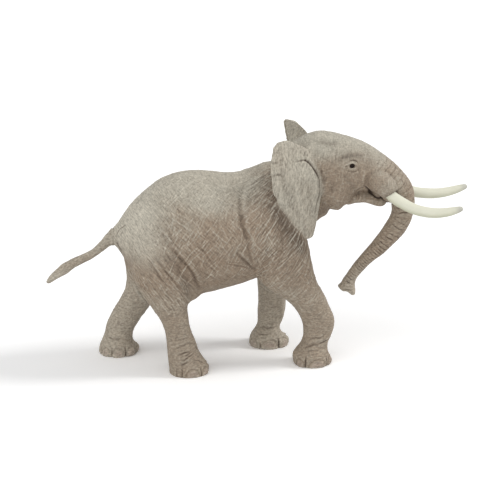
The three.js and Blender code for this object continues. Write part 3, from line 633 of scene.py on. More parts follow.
# Fine ridges of the hide: pieces, x range, z range, slope and its spread, length, number and strength
HATCHES = [
    (TORSO, (-50, 6), (50, 106), 55, 10, 9, 800, 0.13),
    (TORSO, (-52, 2), (50, 104), -50, 10, 9, 700, 0.12),
    (TORSO, (-8, 32), (45, 104), 48, 8, 10, 800, 0.14),
    (TORSO, (-8, 32), (45, 100), 50, 8, 10, 300, -0.12),
    (TORSO, (-2, 32), (45, 100), -52, 12, 8, 150, 0.1),
    (TORSO, (-94, -40), (66, 106), 78, 14, 9, 340, 0.1),
    (TORSO, (-94, -36), (60, 106), -52, 12, 10, 340, 0.11),
    (TORSO, (-90, 30), (40, 106), -48, 14, 9, 420, -0.1),
    (TORSO, (-90, 30), (40, 106), 55, 14, 9, 420, -0.1),
    (TORSO, (-90, 30), (40, 106), 8, 14, 7, 260, 0.08),
    (HIND_LEGS, (-94, -20), (36, 80), -50, 9, 10, 520, 0.11),
    (HIND_LEGS, (-94, -20), (36, 80), -50, 9, 9, 260, -0.11),
    (HIND_LEGS, (-94, -20), (30, 80), 60, 12, 7, 180, 0.08),
    (FORELEGS, (-10, 40), (34, 90), 44, 9, 9, 480, 0.11),
    (FORELEGS, (-10, 40), (30, 90), -48, 12, 8, 220, 0.1),
    (LEGS, (-94, 45), (8, 42), 10, 12, 4, 700, 0.07),
    (LEGS, (-94, 45), (8, 42), 12, 12, 4, 500, -0.07),
    (LEGS, (-94, 45), (10, 44), -60, 20, 5, 300, 0.08),
    (EARS, (-10, 60), (50, 125), 86, 16, 7, 460, 0.08),
    (EARS, (-10, 60), (50, 125), 66, 20, 6, 340, -0.08),
    (FACE, (0, 80), (70, 125), 84, 14, 6, 520, 0.08),
    (FACE, (0, 80), (70, 125), 5, 14, 5, 420, 0.08),
    (FACE, (0, 80), (70, 125), -50, 20, 6, 300, -0.09),
    (["trunk"], (0, 80), (30, 100), 10, 14, 4, 200, -0.07),
    (["tail"], (-120, -60), (40, 100), 35, 10, 6, 120, 0.12),
]
HATCH_SEED = 11
# How much paler a fine ridge is painted, and how much darker a cut: partly dry brushing and wash, partly
# painted highlight and shade
HATCH_PAINT_AND_LIGHT = 2.3


def trunk_line():
    """The trunk's middle line: down the face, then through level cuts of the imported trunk."""
    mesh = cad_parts["trunk"].data
    coords = corners_of(mesh)
    starts, ends = coords[column(mesh.edges, "vertices", 2, np.int32)].transpose(1, 0, 2)
    low, high = coords[:, 2].min(), coords[:, 2].max()
    margin = 0.02 * (high - low)
    middles = [head_place(ahead, 0, height) for ahead, height in FACE_LINE]
    for level in np.linspace(high - margin, low + margin, TRUNK_CUTS):
        crossing = (starts[:, 2] - level) * (ends[:, 2] - level) < 0
        first, second = starts[crossing], ends[crossing]
        cut = first + ((level - first[:, 2]) / (second[:, 2] - first[:, 2]))[:, None] * (second - first)
        if level < high - TRUNK_HIDDEN:
            middles.append((cut.min(0) + cut.max(0)) / 2)
    return curve(middles, 1.5)


def carve_folds(skin):
    """The drawn folds of body, limbs, head and ears, and their soft shading."""
    for in_head, folds, shades in ((False, BODY_FOLDS, BODY_SHADES), (True, HEAD_FOLDS, HEAD_SHADES)):
        for pixels, *form in folds:
            for path in skin.both_sides(pixels, in_head):
                skin.groove(path, *form)
        for pixels, *form in shades:
            for path in skin.both_sides(pixels, in_head):
                skin.shade(path, *form)
    for pixels, *form in LIMB_FOLDS + EAR_FOLDS:
        path = skin.path_at(pixels)
        if len(path) > 1:
            skin.groove(path, *form)


# Rounder forms of the head, on both sides: pixel, radius and height
HEAD_FORMS = [
    ((330, 144), 4.5, -0.6),
    ((326, 186), 4.5, -0.5),
    ((353, 166), 3.4, -0.45),
    ((352, 151), 4.0, 0.5),
    ((344, 152), 3.0, 0.4),
    ((357, 193), 1.7, -0.4),
    ((381, 181), 4.8, 1.0),
]
# Forms of the body: pixel, radius and height
BODY_FORMS = [
    ((317, 219), 6, -1.1),
    ((265, 167), 5, 1.7),
    ((226, 176), 10, 0.5),
    ((210, 176), 14, 0.3),
    ((190, 175), 12, 0.4),
]
# Places drawn along a way: pixel, radius and way in millimetres
PULLS = [((190.5, 293), 4.8, (0.8, 0, -4.0)), ((309, 233.5), 2.4, (0.3, 0, -1.8))]
# Where the skin is fuller or thinner than the solids: pieces, the way it faces, height and fades by place
SWELLS = [
    (FACE, "up", 0.4, [("ahead", 26, 20)]),
    (TORSO + HIND_LEGS, "any", -0.55, [("x", -48, -60), ("z", 36, 48), ("z", 101, 95)]),
    (["leg_front_left", "leg_hind_left"], "camera", 1.6, [("z", 13, 4)]),
    (["leg_front_right"], "camera", 0.6, [("z", 11, 4)]),
    (["leg_hind_left"], "right", -0.8, [("z", 16, 10)]),
    (["ear_left"], "back", -1.5, [("z", 98, 106)]),
    (["leg_front_right"] + TORSO, "right", 0.45, [("z", 29, 35), ("z", 56, 50), ("x", 10, 20)]),
    (FACE + ["trunk"], "right", 0.4, [("ahead", 38, 46), ("z", 80, 88), ("z", 108, 100)]),
    (["tail"], "any", 0.4, [("z", 50, 58), ("x", -74, -79)]),
    (["leg_hind_right"], "right", 0.5, [("z", 10, 14), ("z", 34, 28)]),
    (TORSO, "down", -0.5, [("x", -40, -28), ("x", 12, 2)]),
]
# Pieces moved to the right in the photograph: the pieces, how far, and fades by place
SHIFTS = [
    (["trunk"], 0.5, [("z", 78, 62)]),
    (["ear_left"], 0.55, [("z", 98, 106)]),
    (["tail"], -0.5, [("x", -92, -104)]),
]
# How much further down the jaw comes, by millimetres ahead in the head's frame
JAW_AHEAD = [2, 8, 20, 24, 30, 33, 38, 43, 50, 54]
JAW_DROP = [0, 0.6, 0.7, 2.1, 1.9, 0.9, 0.8, 1.6, 2.5, 0]


def carve_forms(skin):
    """Soft swellings and hollows, and the places where the cast is fuller or thinner than the solids."""
    for pixel, radius, height in HEAD_FORMS:
        spot = skin.seen_at(pixel)[None]
        skin.bump(spot[0], radius, height)
        skin.bump(skin.mirrored(spot, True)[0], radius, height)
    for pixel, radius, height in BODY_FORMS:
        skin.bump(skin.seen_at(pixel), radius, height)
    for pixel, radius, way in PULLS:
        skin.pull(skin.seen_at(pixel), radius, way)
    normals = skin.normals()
    facing = {
        "any": 1.0,
        "up": fade(normals[:, 2], 0.6, 0.95),
        "down": np.clip(-normals[:, 2], 0, 1),
        "camera": np.clip(normals @ CAMERA_WAY + 0.15, 0, 1),
        "right": np.clip(normals @ CAMERA_RIGHT, 0, 1),
        "back": np.clip(-normals[:, 0] - 0.1, 0, 1),
    }
    jaw = skin.share(FACE, [("z", 88, 84)]) * np.interp(skin.places()["ahead"], JAW_AHEAD, JAW_DROP)
    skin.rise += facing["down"] * jaw
    for names, way, height, fades in SWELLS:
        skin.rise += height * facing[way] * skin.share(names, fades)
    shift = sum(way * skin.share(names, fades) for names, way, fades in SHIFTS)
    skin.points += shift[:, None] * CAMERA_RIGHT


def shape_trunk_tip(skin):
    """The tip's two fingers: cut slantwise across, with a hollow between them."""
    chosen = np.flatnonzero(skin.on(["trunk"]))
    low = skin.points[chosen, 2].min()
    chosen = chosen[skin.points[chosen, 2] < low + TIP_HEIGHT]
    spots = skin.points[chosen]
    end = spots[spots[:, 2] < low + TIP_END].mean(0)
    across = (spots - end) @ CAMERA_RIGHT
    near = fade(spots[:, 2], low + TIP_CUT, low + 0.5)
    skin.points[chosen, 2] -= near * (TIP_SLOPE * across + 0.15)
    pinch = fade(spots[:, 2], low + TIP_PINCH, low) * np.clip(-across - 1.5, 0, 3)
    skin.points[chosen] -= (TIP_SQUEEZE * pinch)[:, None] * CAMERA_RIGHT
    finger = fade(-across, 1.5, 5) * (spots[:, 2] < low + TIP_FINGER)
    level = skin.points[chosen, 2]
    middle = level[finger > 0.5].mean() if (finger > 0.5).any() else 0
    skin.points[chosen, 2] += TIP_LEVELLING * finger * (middle - level)


def carve_feet(skin):
    """Raised toenails with a groove round each, and the creases between the toes."""
    for name in LEGS:
        on_foot = np.flatnonzero(skin.on([name]) & (skin.points[:, 2] < FOOT_HEIGHT))
        spots = skin.points[on_foot]
        sole = spots[spots[:, 2] < FOOT_RIM]
        middle = (sole.min(0) + sole.max(0)) / 2
        radius = (sole.max(0) - sole.min(0))[:2].mean() / 2
        apart = spots - middle
        out = np.hypot(apart[:, 0], apart[:, 1])
        wall = out > 0.5 * radius
        on_wall = wall * fade(spots[:, 2], 0.05, 0.5)
        angle = np.degrees(np.arctan2(apart[:, 1], apart[:, 0]))
        for turn, half_width in NAILS[name]:
            around = turned_by(angle, turn) * radius
            upward = np.clip(spots[:, 2] - 0.5, -0.5, None) / sizes().nail_height
            span = np.sqrt((around / half_width) ** 2 + upward**2)
            body = np.clip((1 - span) / 0.3, 0, 1) * on_wall
            rim = hill(span, 1.1, 0.13) * on_wall
            roll = hill(span, 1.4, 0.16) * on_wall
            skin.rise[on_foot] += NAIL_RISE * body - NAIL_GROOVE * rim + NAIL_ROLL * roll
            skin.crease[on_foot] += 0.05 * rim - 0.08 * roll
            skin.nail[on_foot] = np.maximum(skin.nail[on_foot], body)
        for turn, height, strength in TOE_CREASES[name]:
            around = turned_by(angle, turn) * radius
            cut = hill(around, 0, TOE_CREASE_WIDTH) * fade(spots[:, 2], height, 0.5 * height) * wall
            skin.rise[on_foot] -= TOE_CREASE_DEPTH * strength * cut
            skin.crease[on_foot] += TOE_CREASE_WASH_AND_SHADE * strength * cut


def hatch(skin):
    """Many straight fine ridges, and some fine cuts, that follow the lie of the hide."""
    chance = np.random.default_rng(HATCH_SEED)
    normals = skin.normals()
    order = np.argsort(skin.points[:, 0])
    sorted_x = skin.points[order, 0]
    width = sizes().hatch_width
    x, y, z = skin.points.T
    for names, (x_low, x_high), (z_low, z_high), slope, spread, length, number, strength in HATCHES:
        within = skin.on(names) & (x > x_low) & (x < x_high) & (z > z_low) & (z < z_high)
        for spot in chance.choice(np.flatnonzero(within), number):
            centre, normal = skin.points[spot], normals[spot]
            way = turned(slope + spread * chance.normal())
            way -= (way @ normal) * normal
            way /= np.linalg.norm(way) + 1e-9
            side = np.cross(normal, way)
            half = 0.5 * length * chance.uniform(0.35, 1.0) * chance.uniform(0.7, 2.2)
            bend = chance.normal() * 0.006
            first, last = np.searchsorted(sorted_x, (centre[0] - half, centre[0] + half))
            near = order[first:last]
            near = near[np.abs(z[near] - centre[2]) < half]
            apart = skin.points[near] - centre
            along = apart @ way
            across = apart @ side - bend * along**2
            near_line = (np.abs(along) < half) & (np.abs(across) < 3 * width) & (np.abs(apart @ normal) < 3)
            near, along, across = near[near_line], along[near_line], across[near_line]
            tall = chance.uniform(0.4, 1.3) * np.cos(0.5 * np.pi * along / half)
            line = tall * hill(across, 0, width)
            skin.rise[near] += sizes().hatch_height * strength * line
            skin.crease[near] -= HATCH_PAINT_AND_LIGHT * strength * line


def ring_trunk(skin):
    """The rings of the trunk, which run out over the face."""
    chosen, distance, place, offset, *rest = along_path(skin.points, trunk_line(), TRUNK_REACH)
    on_face = skin.on(["head"])[chosen] * fade(place, 14, 26) * fade(distance, 15, 10)
    forward = (offset @ HEAD_AHEAD) / np.maximum(distance, 0.01)
    along_side = 0.2 + 0.8 * hill(forward, 0.15, 0.5)
    share = np.where(skin.on(["trunk"])[chosen], along_side, 0.45 * on_face)
    spots = skin.points[chosen]
    wobble = place + 0.8 * noise_field(spots / 5) + 0.3 * noise_field(spots / 1.7)
    spacing = sizes().ring_spacing * (1 - 0.2 * fade(place, 60, 95))
    phase = np.abs((wobble / spacing) % 1 - 0.5) * 2
    cut = np.clip(1 - phase / 0.3, 0, 1)
    broken = 0.15 + 0.85 * fade(noise_field(spots / np.array((3.0, 3.0, 2.0)) + 7.7), -0.3, 0.25)
    broken = np.where(place > 50, broken, 0.5 + 0.5 * broken)
    skin.rise[chosen] += share * sizes().ring_depth * (0.3 * (phase - 0.3) - cut * broken)
    skin.crease[chosen] += share * (1.6 * cut * broken - 0.3 * fade(phase, 0.6, 1.0) * fade(place, 60, 45))


def wrinkle(skin):
    """The folds of the lower legs, the veins of the ears and a slight unevenness everywhere."""
    points = skin.points
    leg = skin.share(LEGS, [("z", 42, 26)])
    level = points / 6 + (points[:, 2] / 1.25)[:, None] * np.array((1.0, 0.0, 0.0))
    ring = np.clip(1 - np.abs(noise_field(level)) / 0.4, 0, 1)
    skin.rise -= 0.07 * leg * ring
    skin.crease += 0.08 * leg * ring
    ear = skin.on(EARS)
    streak = noise_field(points / np.array((2.3, 2.3, 13.0)) + 13.0)
    skin.rise += 0.2 * ear * streak
    skin.crease -= 0.2 * ear * streak
    plain = 1 - 0.6 * skin.on(FACE)
    skin.rise += 0.35 * plain * noise_field(points / 11 + 41.0)
    skin.rise += 0.11 * noise_field(points / 3.3 + 5.3)
    grain = noise_field(points / 1.15 + 9.1)
    skin.rise += 0.05 * grain
    skin.crease -= 0.2 * grain


def tighten(skin, path, old, new, reach):
    """Draws the skin in round a path, from an old radius to a new one."""
    chosen, distance, place, offset, total = along_path(skin.points, path, old + reach)
    beyond = new + (distance - old) * (old + reach - new) / reach
    target = np.where(distance < old, distance * new / old, beyond)
    skin.points[chosen] += offset * (target / np.maximum(distance, 0.01) - 1)[:, None]


def cavity(skin):
    """Positive in hollows and negative on ridges, a few tenths of a millimetre across."""
    return ((skin.averaged(skin.points, rounds=4) - skin.points) * skin.normals()).sum(1)


def warmth(skin):
    """How brown the paint is at each point: browner and darker low on the body, partly the figure's own
    paint and partly painted shade.
    """
    x, y, z = skin.points.T
    ahead = (skin.points - HEAD_PIVOT) @ HEAD_AHEAD
    mottle = noise_field(skin.points / 13 + 3.0)
    height = z + 9 * mottle - 13 * fade(x, -25, 5)
    # Browner lower down, partly painted shade, and less brown on the upper rump as painted light
    warm = (0.1 + 0.76 * fade(height, 92, 73)) * (1 - 0.6 * fade(x, -42, -66) * fade(z, 50, 66))
    warm = np.minimum(warm, 0.66 + 0.3 * fade(z, 36, 56)) + 0.13 * noise_field(skin.points / 5 + 71.0)
    face = 0.82 * fade(z + 7 * mottle, 113, 99) - 0.35 * fade((ahead - 51) ** 2 + (z - 91) ** 2, 60, 10)
    warm = np.where(skin.on(FACE), face, warm)
    warm = np.where(skin.on(["trunk"]), 0.75 + 0.2 * mottle, warm)
    warm = np.where(skin.on(EARS), 0.16 + 0.3 * mottle, warm)
    return skin.averaged(warm, rounds=16)


# Slopes of the weave in degrees and the length of its streaks: rising, falling, level and upright
LAY_SLOPES = [(50, 3.0), (-48, 3.0), (8, 1.5), (82, 2.2)]


def lay_shares(skin):
    """How much the weave follows each of its slopes at each point."""
    x = skin.points[:, 0]
    low = skin.share(LEGS, [("z", 46, 32)])
    patch = 0.5 + 0.5 * np.clip(2.2 * noise_field(skin.points / 9 + 57.0), -1, 1)
    rising = np.clip(0.35 + 0.4 * fade(x, -30, 5) - 0.3 * fade(x, -40, -60), 0, 1) * (0.5 + patch)
    body = skin.on(TORSO + LEGS) * (1 - low)
    upright = skin.on(EARS) * 1.0 + skin.on(FACE) * (0.35 + 0.5 * patch)
    level = low + skin.on(["trunk", "tail"]) + skin.on(FACE) * (0.65 - 0.5 * patch)
    shares = np.column_stack([body * rising, body * (1 - rising), level, upright])
    return np.clip(skin.averaged(shares, rounds=10), 0, 1)


def point_paint(skin):
    """Shares of brown paint, nail paint, pale paint and painted shade at each point; the pale share is
    mostly painted light.
    """
    z = skin.points[:, 2]
    # Pale paint as painted light: on upward-facing surfaces high on the body, the rump, the far ear and the
    # far legs; paler also low on the trunk and on the tail's tuft
    pale = 0.26 * fade(skin.normals()[:, 2], 0.3, 0.95) * fade(z, 60, 95)
    pale += 0.9 * skin.share(TORSO, [("x", -42, -64), ("z", 54, 76)])
    pale = np.where(skin.on(["ear_left"]), 1.0, pale)
    pale += 0.4 * skin.share(["leg_hind_left", "leg_front_left"], [("z", 50, 28)])
    pale = np.where(skin.on(["trunk"]), 0.4 * fade(z, 50, 36), pale)
    pale = np.where(skin.on(["tail"]), 0.2 + 0.5 * fade(z, 56, 48), pale)
    pale = np.where(skin.on(["ear_right"]), 0.2, pale)
    pale = skin.averaged(pale, rounds=8)
    # Painted shade and mottles, a quarter as strong on the ears
    stain = np.where(skin.on(EARS), 0.25 * skin.stain, skin.stain)
    return np.clip(np.column_stack([warmth(skin), skin.nail, pale, stain]), 0, 1)


def set_field(mesh, name, values):
    """Stores one number or four numbers a point, for the paint to read."""
    values = np.asarray(values, np.float32)
    if values.ndim == 1:
        mesh.attributes.new(name, "FLOAT", "POINT").data.foreach_set("value", values)
    else:
        mesh.attributes.new(name, "FLOAT_COLOR", "POINT").data.foreach_set("color", values.ravel())


def melt_roots(skin):
    """Smooths the steps where ears, tail and head run into what carries them."""
    skin.grow_tree()
    melts = [(skin.both_sides(pixels, in_head), reach, rounds) for pixels, in_head, reach, rounds in ROOTS]
    for paths, reach, rounds in [*melts, ([NAPE], NAPE_REACH, NAPE_ROUNDS)]:
        melt = np.zeros(len(skin.points))
        for path in paths:
            chosen, distance, *rest = along_path(skin.points, path, reach)
            melt[chosen] = np.maximum(melt[chosen], 0.6 * fade(distance, reach, 0.4 * reach))
        skin.relax(rounds, melt)


def round_cast(skin):
    """Rounds the facets, least on thin pieces and not at all on the soles, and draws the cast in."""
    strength = np.full(len(skin.points), BODY_ROUNDING_SHARE)
    for name, share in ROUNDING_SHARES.items():
        strength[skin.on([name])] = share
    strength = skin.averaged(strength, rounds=10) * fade(skin.points[:, 2], SOLE, SOLE_EDGE)
    skin.relax(sizes().rounds, strength)
    skin.points -= skin.normals() * DRAWN_IN * fade(skin.points[:, 2], SOLE, SOLE_EDGE)[:, None]
    skin.points[:, 2] = np.where(skin.points[:, 2] < SOLE, 0, skin.points[:, 2])


def build_skin():
    """Casts, rounds and carves the skin, and stores the fields that its paint reads."""
    mesh = cast_skin()
    skin = Cast(mesh)
    melt_roots(skin)
    round_cast(skin)
    shape_trunk_tip(skin)
    for side in TUSKS.values():
        tighten(skin, tusk_root(side), TUSK_SOCKET, TUSK_SOCKET_DRAWN, TUSK_SOCKET_REACH)
    skin.normals()
    skin.grow_tree()
    eyes = [skin.seen_at(EYE)]
    eyes.append(skin.mirrored(eyes[0][None], True)[0])
    refine(mesh, eyes, EYE_REFINED)
    skin = Cast(mesh)
    settle_pieces(skin)
    skin.grow_tree()
    carve_forms(skin)
    carve_folds(skin)
    carve_feet(skin)
    hatch(skin)
    ring_trunk(skin)
    wrinkle(skin)
    skin.rise[skin.points[:, 2] < SOLE_UNCARVED] = 0
    skin.apply()
    # Darker paint in the hollows and paler on the ridges: wash and dry brushing together with painted shade
    # and highlight
    skin.crease = np.clip(skin.crease + np.clip(CAVITY_WASH_AND_SHADE * cavity(skin), -1, 0.7), -1.5, 2)
    set_field(mesh, "crease", skin.crease)
    set_field(mesh, "paint", point_paint(skin))
    set_field(mesh, "lay", lay_shares(skin))
    return skin


# How far under its edge a piece of skin is closed; less on the head, where the skin ends at the tusks
CAP_DEPTH = 1.1
FACE_CAP_DEPTH = 0.2


def close_piece(work, depth):
    """Turns the open edge of a piece of skin inwards, and closes it with caps drawn to their middles."""
    edges = [e for e in work.edges if e.is_boundary]
    rim = bmesh.ops.extrude_edge_only(work, edges=edges)["geom"]
    outward = work.verts.layers.float_vector["fused_normal"]
    for vertex in rim:
        if isinstance(vertex, bmesh.types.BMVert):
            vertex.co -= vertex[outward] * depth * MM
    filled = bmesh.ops.holes_fill(work, edges=[e for e in work.edges if e.is_boundary], sides=0)
    caps = bmesh.ops.poke(work, faces=filled["faces"])["faces"]
    for face in caps + [g for g in rim if isinstance(g, bmesh.types.BMFace)]:
        face.smooth = True


def split_skin(skin, material):
    """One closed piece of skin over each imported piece, shaded as one surface."""
    mesh = skin.mesh
    starts = column(mesh.polygons, "loop_start", 1, np.int32)
    face_owner = skin.owner[column(mesh.loops, "vertex_index", 1, np.int32)[starts]]
    kept = mesh.attributes.new("fused_normal", "FLOAT_VECTOR", "POINT")
    kept.data.foreach_set("vector", skin.normals().astype(np.float32).ravel())
    mesh.shade_smooth()
    fused = bmesh.new()
    fused.from_mesh(mesh)
    for number, name in enumerate(SKIN_NODES):
        if name in TUSKS:
            continue
        work = fused.copy()
        others = list(compress(work.faces, (face_owner != number).tolist()))
        bmesh.ops.delete(work, geom=others, context="FACES")
        close_piece(work, FACE_CAP_DEPTH if name in FACE else CAP_DEPTH)
        piece = made_mesh(work, name + "_skin")
        shading = column(piece.attributes["fused_normal"].data, "vector", 3)
        piece.normals_split_custom_set_from_vertices(shading)
        piece.attributes.remove(piece.attributes["fused_normal"])
        piece.materials.append(material)
        add_piece(name + "_skin", piece, "skin", name)
    fused.free()


def add_piece(name, mesh, slot, *nodes):
    """A finished piece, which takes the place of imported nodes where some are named."""
    made = placed(name, mesh)
    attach(made, "root")
    if nodes:
        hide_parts(*nodes)
    return made


# Materials
def node(tree, kind, inputs=(), **settings):
    """Adds a node with its settings, values and links."""
    made = tree.nodes.new("ShaderNode" + kind)
    for name, value in settings.items():
        setattr(made, name, value)
    for socket, value in dict(inputs).items():
        if isinstance(value, bpy.types.NodeSocket):
            tree.links.new(value, made.inputs[socket])
        else:
            made.inputs[socket].default_value = value
    return made


def new_material(name):
    """A new material without nodes, and the function that adds them to it."""
    made = bpy.data.materials.new(name)
    made.use_nodes = True
    made.node_tree.nodes.clear()
    return made, partial(node, made.node_tree)


def coated(add, colour, coats):
    """Lays coats of paint over a colour, each where its share is."""
    for share, coat in coats:
        colour = add("Mix", {0: share, 6: colour, 7: paint(coat)}, data_type="RGBA").outputs[2]
    return colour


def streaks(add, place, slope, spacing, length):
    """Noise drawn out at a slope in the side view; its spacing and length in millimetres."""
    lie = add("Mapping", {"Vector": place, "Rotation": (0, math.radians(slope), 0)}).outputs[0]
    scale = (1 / (length * MM), 1 / (length * MM), 1 / (spacing * MM))
    drawn = add("Mapping", {"Vector": lie, "Scale": scale}).outputs[0]
    return add("TexNoise", {"Vector": drawn, "Scale": 1.0, "Detail": 2.0}).outputs[0]


def finish_material(add, colour, height, depth, roughness, specular):
    """Ends a painted surface: its colour, its fine relief with a depth in millimetres, and its gloss."""
    bump = add("Bump", {"Height": height, "Strength": 0.8, "Distance": depth * MM}).outputs[0]
    surface = {"Base Color": colour, "Roughness": roughness, "Specular IOR Level": specular, "Normal": bump}
    add("OutputMaterial", {"Surface": add("BsdfPrincipled", surface).outputs[0]})


# Coats over the sprayed grey: the share that each one follows, its strength and its paint. The pale coat is
# mostly painted light, the dark patches painted shade, and the crease coats darken creases and lighten
# ridges, partly wash and partly painted shade and highlight
COATS = [
    ("warm", 1.0, "warm"),
    ("pale", 0.8, "pale"),
    ("nail", 0.45, "nail"),
    ("stain", 0.7, "dark"),
    ("crease", 0.55, "dark"),
    ("crease", -0.55, "pale"),
]
# Pebbles of the hide to a millimetre
PEBBLES = 1.25
# Specks of sprayed paint to a millimetre: real ones are finer, but would be too fine to show
SPECKS = 1.4
# Millimetres between the weave's brushed streaks, drawn as coarse as they need to be to show
WEAVE_SPACING = 0.6
# How much of the grain is weave, its contrast, and how dark and light it makes the paint
WEAVE_SHARE = 0.64
CONTRAST = 4.0
GRAIN_LEVELS = (0.73, 1.25)


def skin_material():
    """Painted PVC: matt sprayed grey, browner low down, darker in creases and paler on ridges, partly wash
    and dry brushing and partly painted shade and highlight, with painted light and shade in patches.
    """
    material, add = new_material("painted_pvc_hide")
    place = add("TexCoord").outputs["Object"]
    paints = add("Attribute", attribute_name="paint").outputs
    shares = dict(zip(("warm", "nail", "pale"), add("SeparateColor", {0: paints["Color"]}).outputs))
    shares["stain"] = paints["Alpha"]
    shares["crease"] = add("Attribute", attribute_name="crease").outputs["Fac"]
    coats = []
    for name, strength, coat in COATS:
        amount = {0: shares[name], 1: strength}
        coats.append((add("Math", amount, operation="MULTIPLY", use_clamp=True).outputs[0], coat))
    colour = coated(add, paint("skin"), coats)
    pebble = add("TexVoronoi", {"Vector": place, "Scale": PEBBLES / MM}, feature="F1").outputs[0]
    speckle = add("TexNoise", {"Vector": place, "Scale": SPECKS / MM, "Detail": 2.0}).outputs[0]
    # The weave runs aslant on the body, across the legs and down the ears
    lay = add("Attribute", attribute_name="lay").outputs
    ways = [*add("SeparateColor", {0: lay["Color"]}).outputs, lay["Alpha"]]
    weave = 0.0
    for share, (slope, length) in zip(ways, LAY_SLOPES):
        drawn = streaks(add, place, slope, WEAVE_SPACING, length)
        weave = add("Math", {0: share, 1: drawn, 2: weave}, operation="MULTIPLY_ADD").outputs[0]
    specks = {0: speckle, 1: (1 - WEAVE_SHARE) * CONTRAST, 2: 0.5 - 0.5 * CONTRAST}
    specks = add("Math", specks, operation="MULTIPLY_ADD").outputs[0]
    both = {0: weave, 1: WEAVE_SHARE * CONTRAST, 2: specks}
    grain = add("Math", both, operation="MULTIPLY_ADD", use_clamp=True).outputs[0]
    darker, lighter = [add("HueSaturation", {"Color": colour, "Value": v}).outputs[0] for v in GRAIN_LEVELS]
    colour = add("Mix", {0: grain, 6: darker, 7: lighter}, data_type="RGBA").outputs[2]
    height = add("Math", {0: pebble, 1: -0.5, 2: grain}, operation="MULTIPLY_ADD").outputs[0]
    finish_material(add, colour, height, depth=0.14, roughness=0.72, specular=0.3)
    return material


# Clouds of shade on the ivory, in millimetres across
CLOUD = 6.25


def ivory_material():
    """Satin ivory PVC: creamy white, a faint grey-green shade beneath and a greyer tip."""
    material, add = new_material("ivory_pvc")
    place = add("TexCoord").outputs["Object"]
    under, tip = [add("Attribute", attribute_name=name).outputs["Fac"] for name in ("under", "tip")]
    cloud = add("TexNoise", {"Vector": place, "Scale": 1 / (CLOUD * MM), "Detail": 3.0}).outputs[0]
    uneven = add("Math", {0: cloud, 1: 0.5, 2: -0.25}, operation="MULTIPLY_ADD").outputs[0]
    shade = add("Math", {0: under, 1: uneven}, operation="ADD", use_clamp=True).outputs[0]
    colour = coated(add, paint("ivory"), [(shade, "ivory_shade"), (tip, "ivory_tip")])
    finish_material(add, colour, cloud, depth=0.08, roughness=0.42, specular=0.4)
    return material


def eye_material():
    """Gloss enamel: a near-black eye with a thin brown rim."""
    material, add = new_material("eye_enamel")
    rim = add("Attribute", attribute_name="rim").outputs["Fac"]
    colour = coated(add, paint("eye"), [(rim, "eye_rim")])
    finish_material(add, colour, rim, depth=0.01, roughness=0.12, specular=0.1)
    return material


# Tusks: ahead, outwards and height in the head's frame, and radius, from the root in the head to the tip
TUSK_STATIONS = [
    (45.5, 10.8, 94.0, 1.7),
    (48.2, 11.8, 90.6, 2.3),
    (51.0, 12.4, 87.6, 2.6),
    (54.3, 13.2, 85.5, 2.7),
    (57.6, 14.1, 83.9, 2.65),
    (61.0, 15.2, 82.5, 2.55),
    (65.0, 16.4, 81.6, 2.5),
    (70.0, 17.5, 81.1, 2.45),
    (74.5, 18.4, 81.3, 2.3),
    (79.0, 19.3, 82.1, 2.1),
    (83.0, 20.0, 83.3, 1.75),
    (85.6, 20.3, 84.2, 1.35),
    (86.7, 20.4, 84.6, 0.7),
]
TUSK_SIDES = 28
# How much further each tusk reaches and rises at its tip, and how much fuller it is
TUSK_REACH = {-1: -0.7, 1: 1.4}
TUSK_LIFT = {-1: -0.1, 1: 0.5}
TUSK_FULLER = 1.05
# Skin this near to the middle of a tusk's root gives way to ivory
TUSK_BARED = 3.2
# The cast's radius round a tusk's root, the radius that it is drawn in to, and how far round that is felt
TUSK_SOCKET = 3.35
TUSK_SOCKET_DRAWN = 2.5
TUSK_SOCKET_REACH = 2.5


def build_tusk(name, side, material):
    """A tapering tusk, its root run on into the head."""
    stations = []
    for ahead, outwards, height, radius in TUSK_STATIONS:
        share = fade(ahead, TUSK_STATIONS[2][0], TUSK_STATIONS[-1][0])
        ahead += share * TUSK_REACH[side]
        height += share * TUSK_LIFT[side]
        stations.append((*head_place(ahead, side * outwards, height), radius * TUSK_FULLER))
    line = curve(stations, 1.5)
    ways = np.gradient(line[:, :3], axis=0)
    work = bmesh.new()
    ring = bmesh.ops.create_circle(work, segments=TUSK_SIDES, radius=1.0)["verts"]
    before = Matrix.Identity(4)
    edges = list(work.edges)
    bmesh.ops.contextual_create(work, geom=edges)
    for k, (x, y, z, radius) in enumerate(line):
        turn = Vector(ways[k]).to_track_quat("Z", "Y").to_matrix().to_4x4()
        here = Matrix.Translation(Vector((x, y, z)) * MM) @ turn @ Matrix.Scale(radius * MM, 4)
        if k:
            made = bmesh.ops.extrude_edge_only(work, edges=edges)["geom"]
            ring = [g for g in made if isinstance(g, bmesh.types.BMVert)]
            edges = [g for g in made if isinstance(g, bmesh.types.BMEdge)]
        bmesh.ops.transform(work, matrix=here @ before.inverted(), verts=ring)
        before = here
    bmesh.ops.contextual_create(work, geom=edges)
    bmesh.ops.recalc_face_normals(work, faces=work.faces)
    made = made_mesh(work, name + "_ivory")
    made.shade_smooth()
    made.materials.append(material)
    # Painted shade on the tusk's downward-facing side
    set_field(made, "under", 0.8 * fade(-column(made.vertex_normals, "vector", 3)[:, 2], -0.3, 1.0))
    set_field(made, "tip", 0.8 * fade(np.linalg.norm(corners_of(made) - line[-1, :3], axis=1), 5.5, 1))
    piece = add_piece(name + "_ivory", made, "tusk", name)
    rounded = piece.modifiers.new("rounded", "SUBSURF")
    rounded.levels = 1
    rounded.render_levels = 1


# The eye's middle on the photograph, half the opening between its lids, and how far it looks out and ahead
EYE = (352.3, 166.2)
EYE_OPENING = 1.35
EYE_OUT = 0.95
EYE_AHEAD = 0.25
# Edges of the skin this near to an eye are halved, for fine lids
EYE_REFINED = 4.2


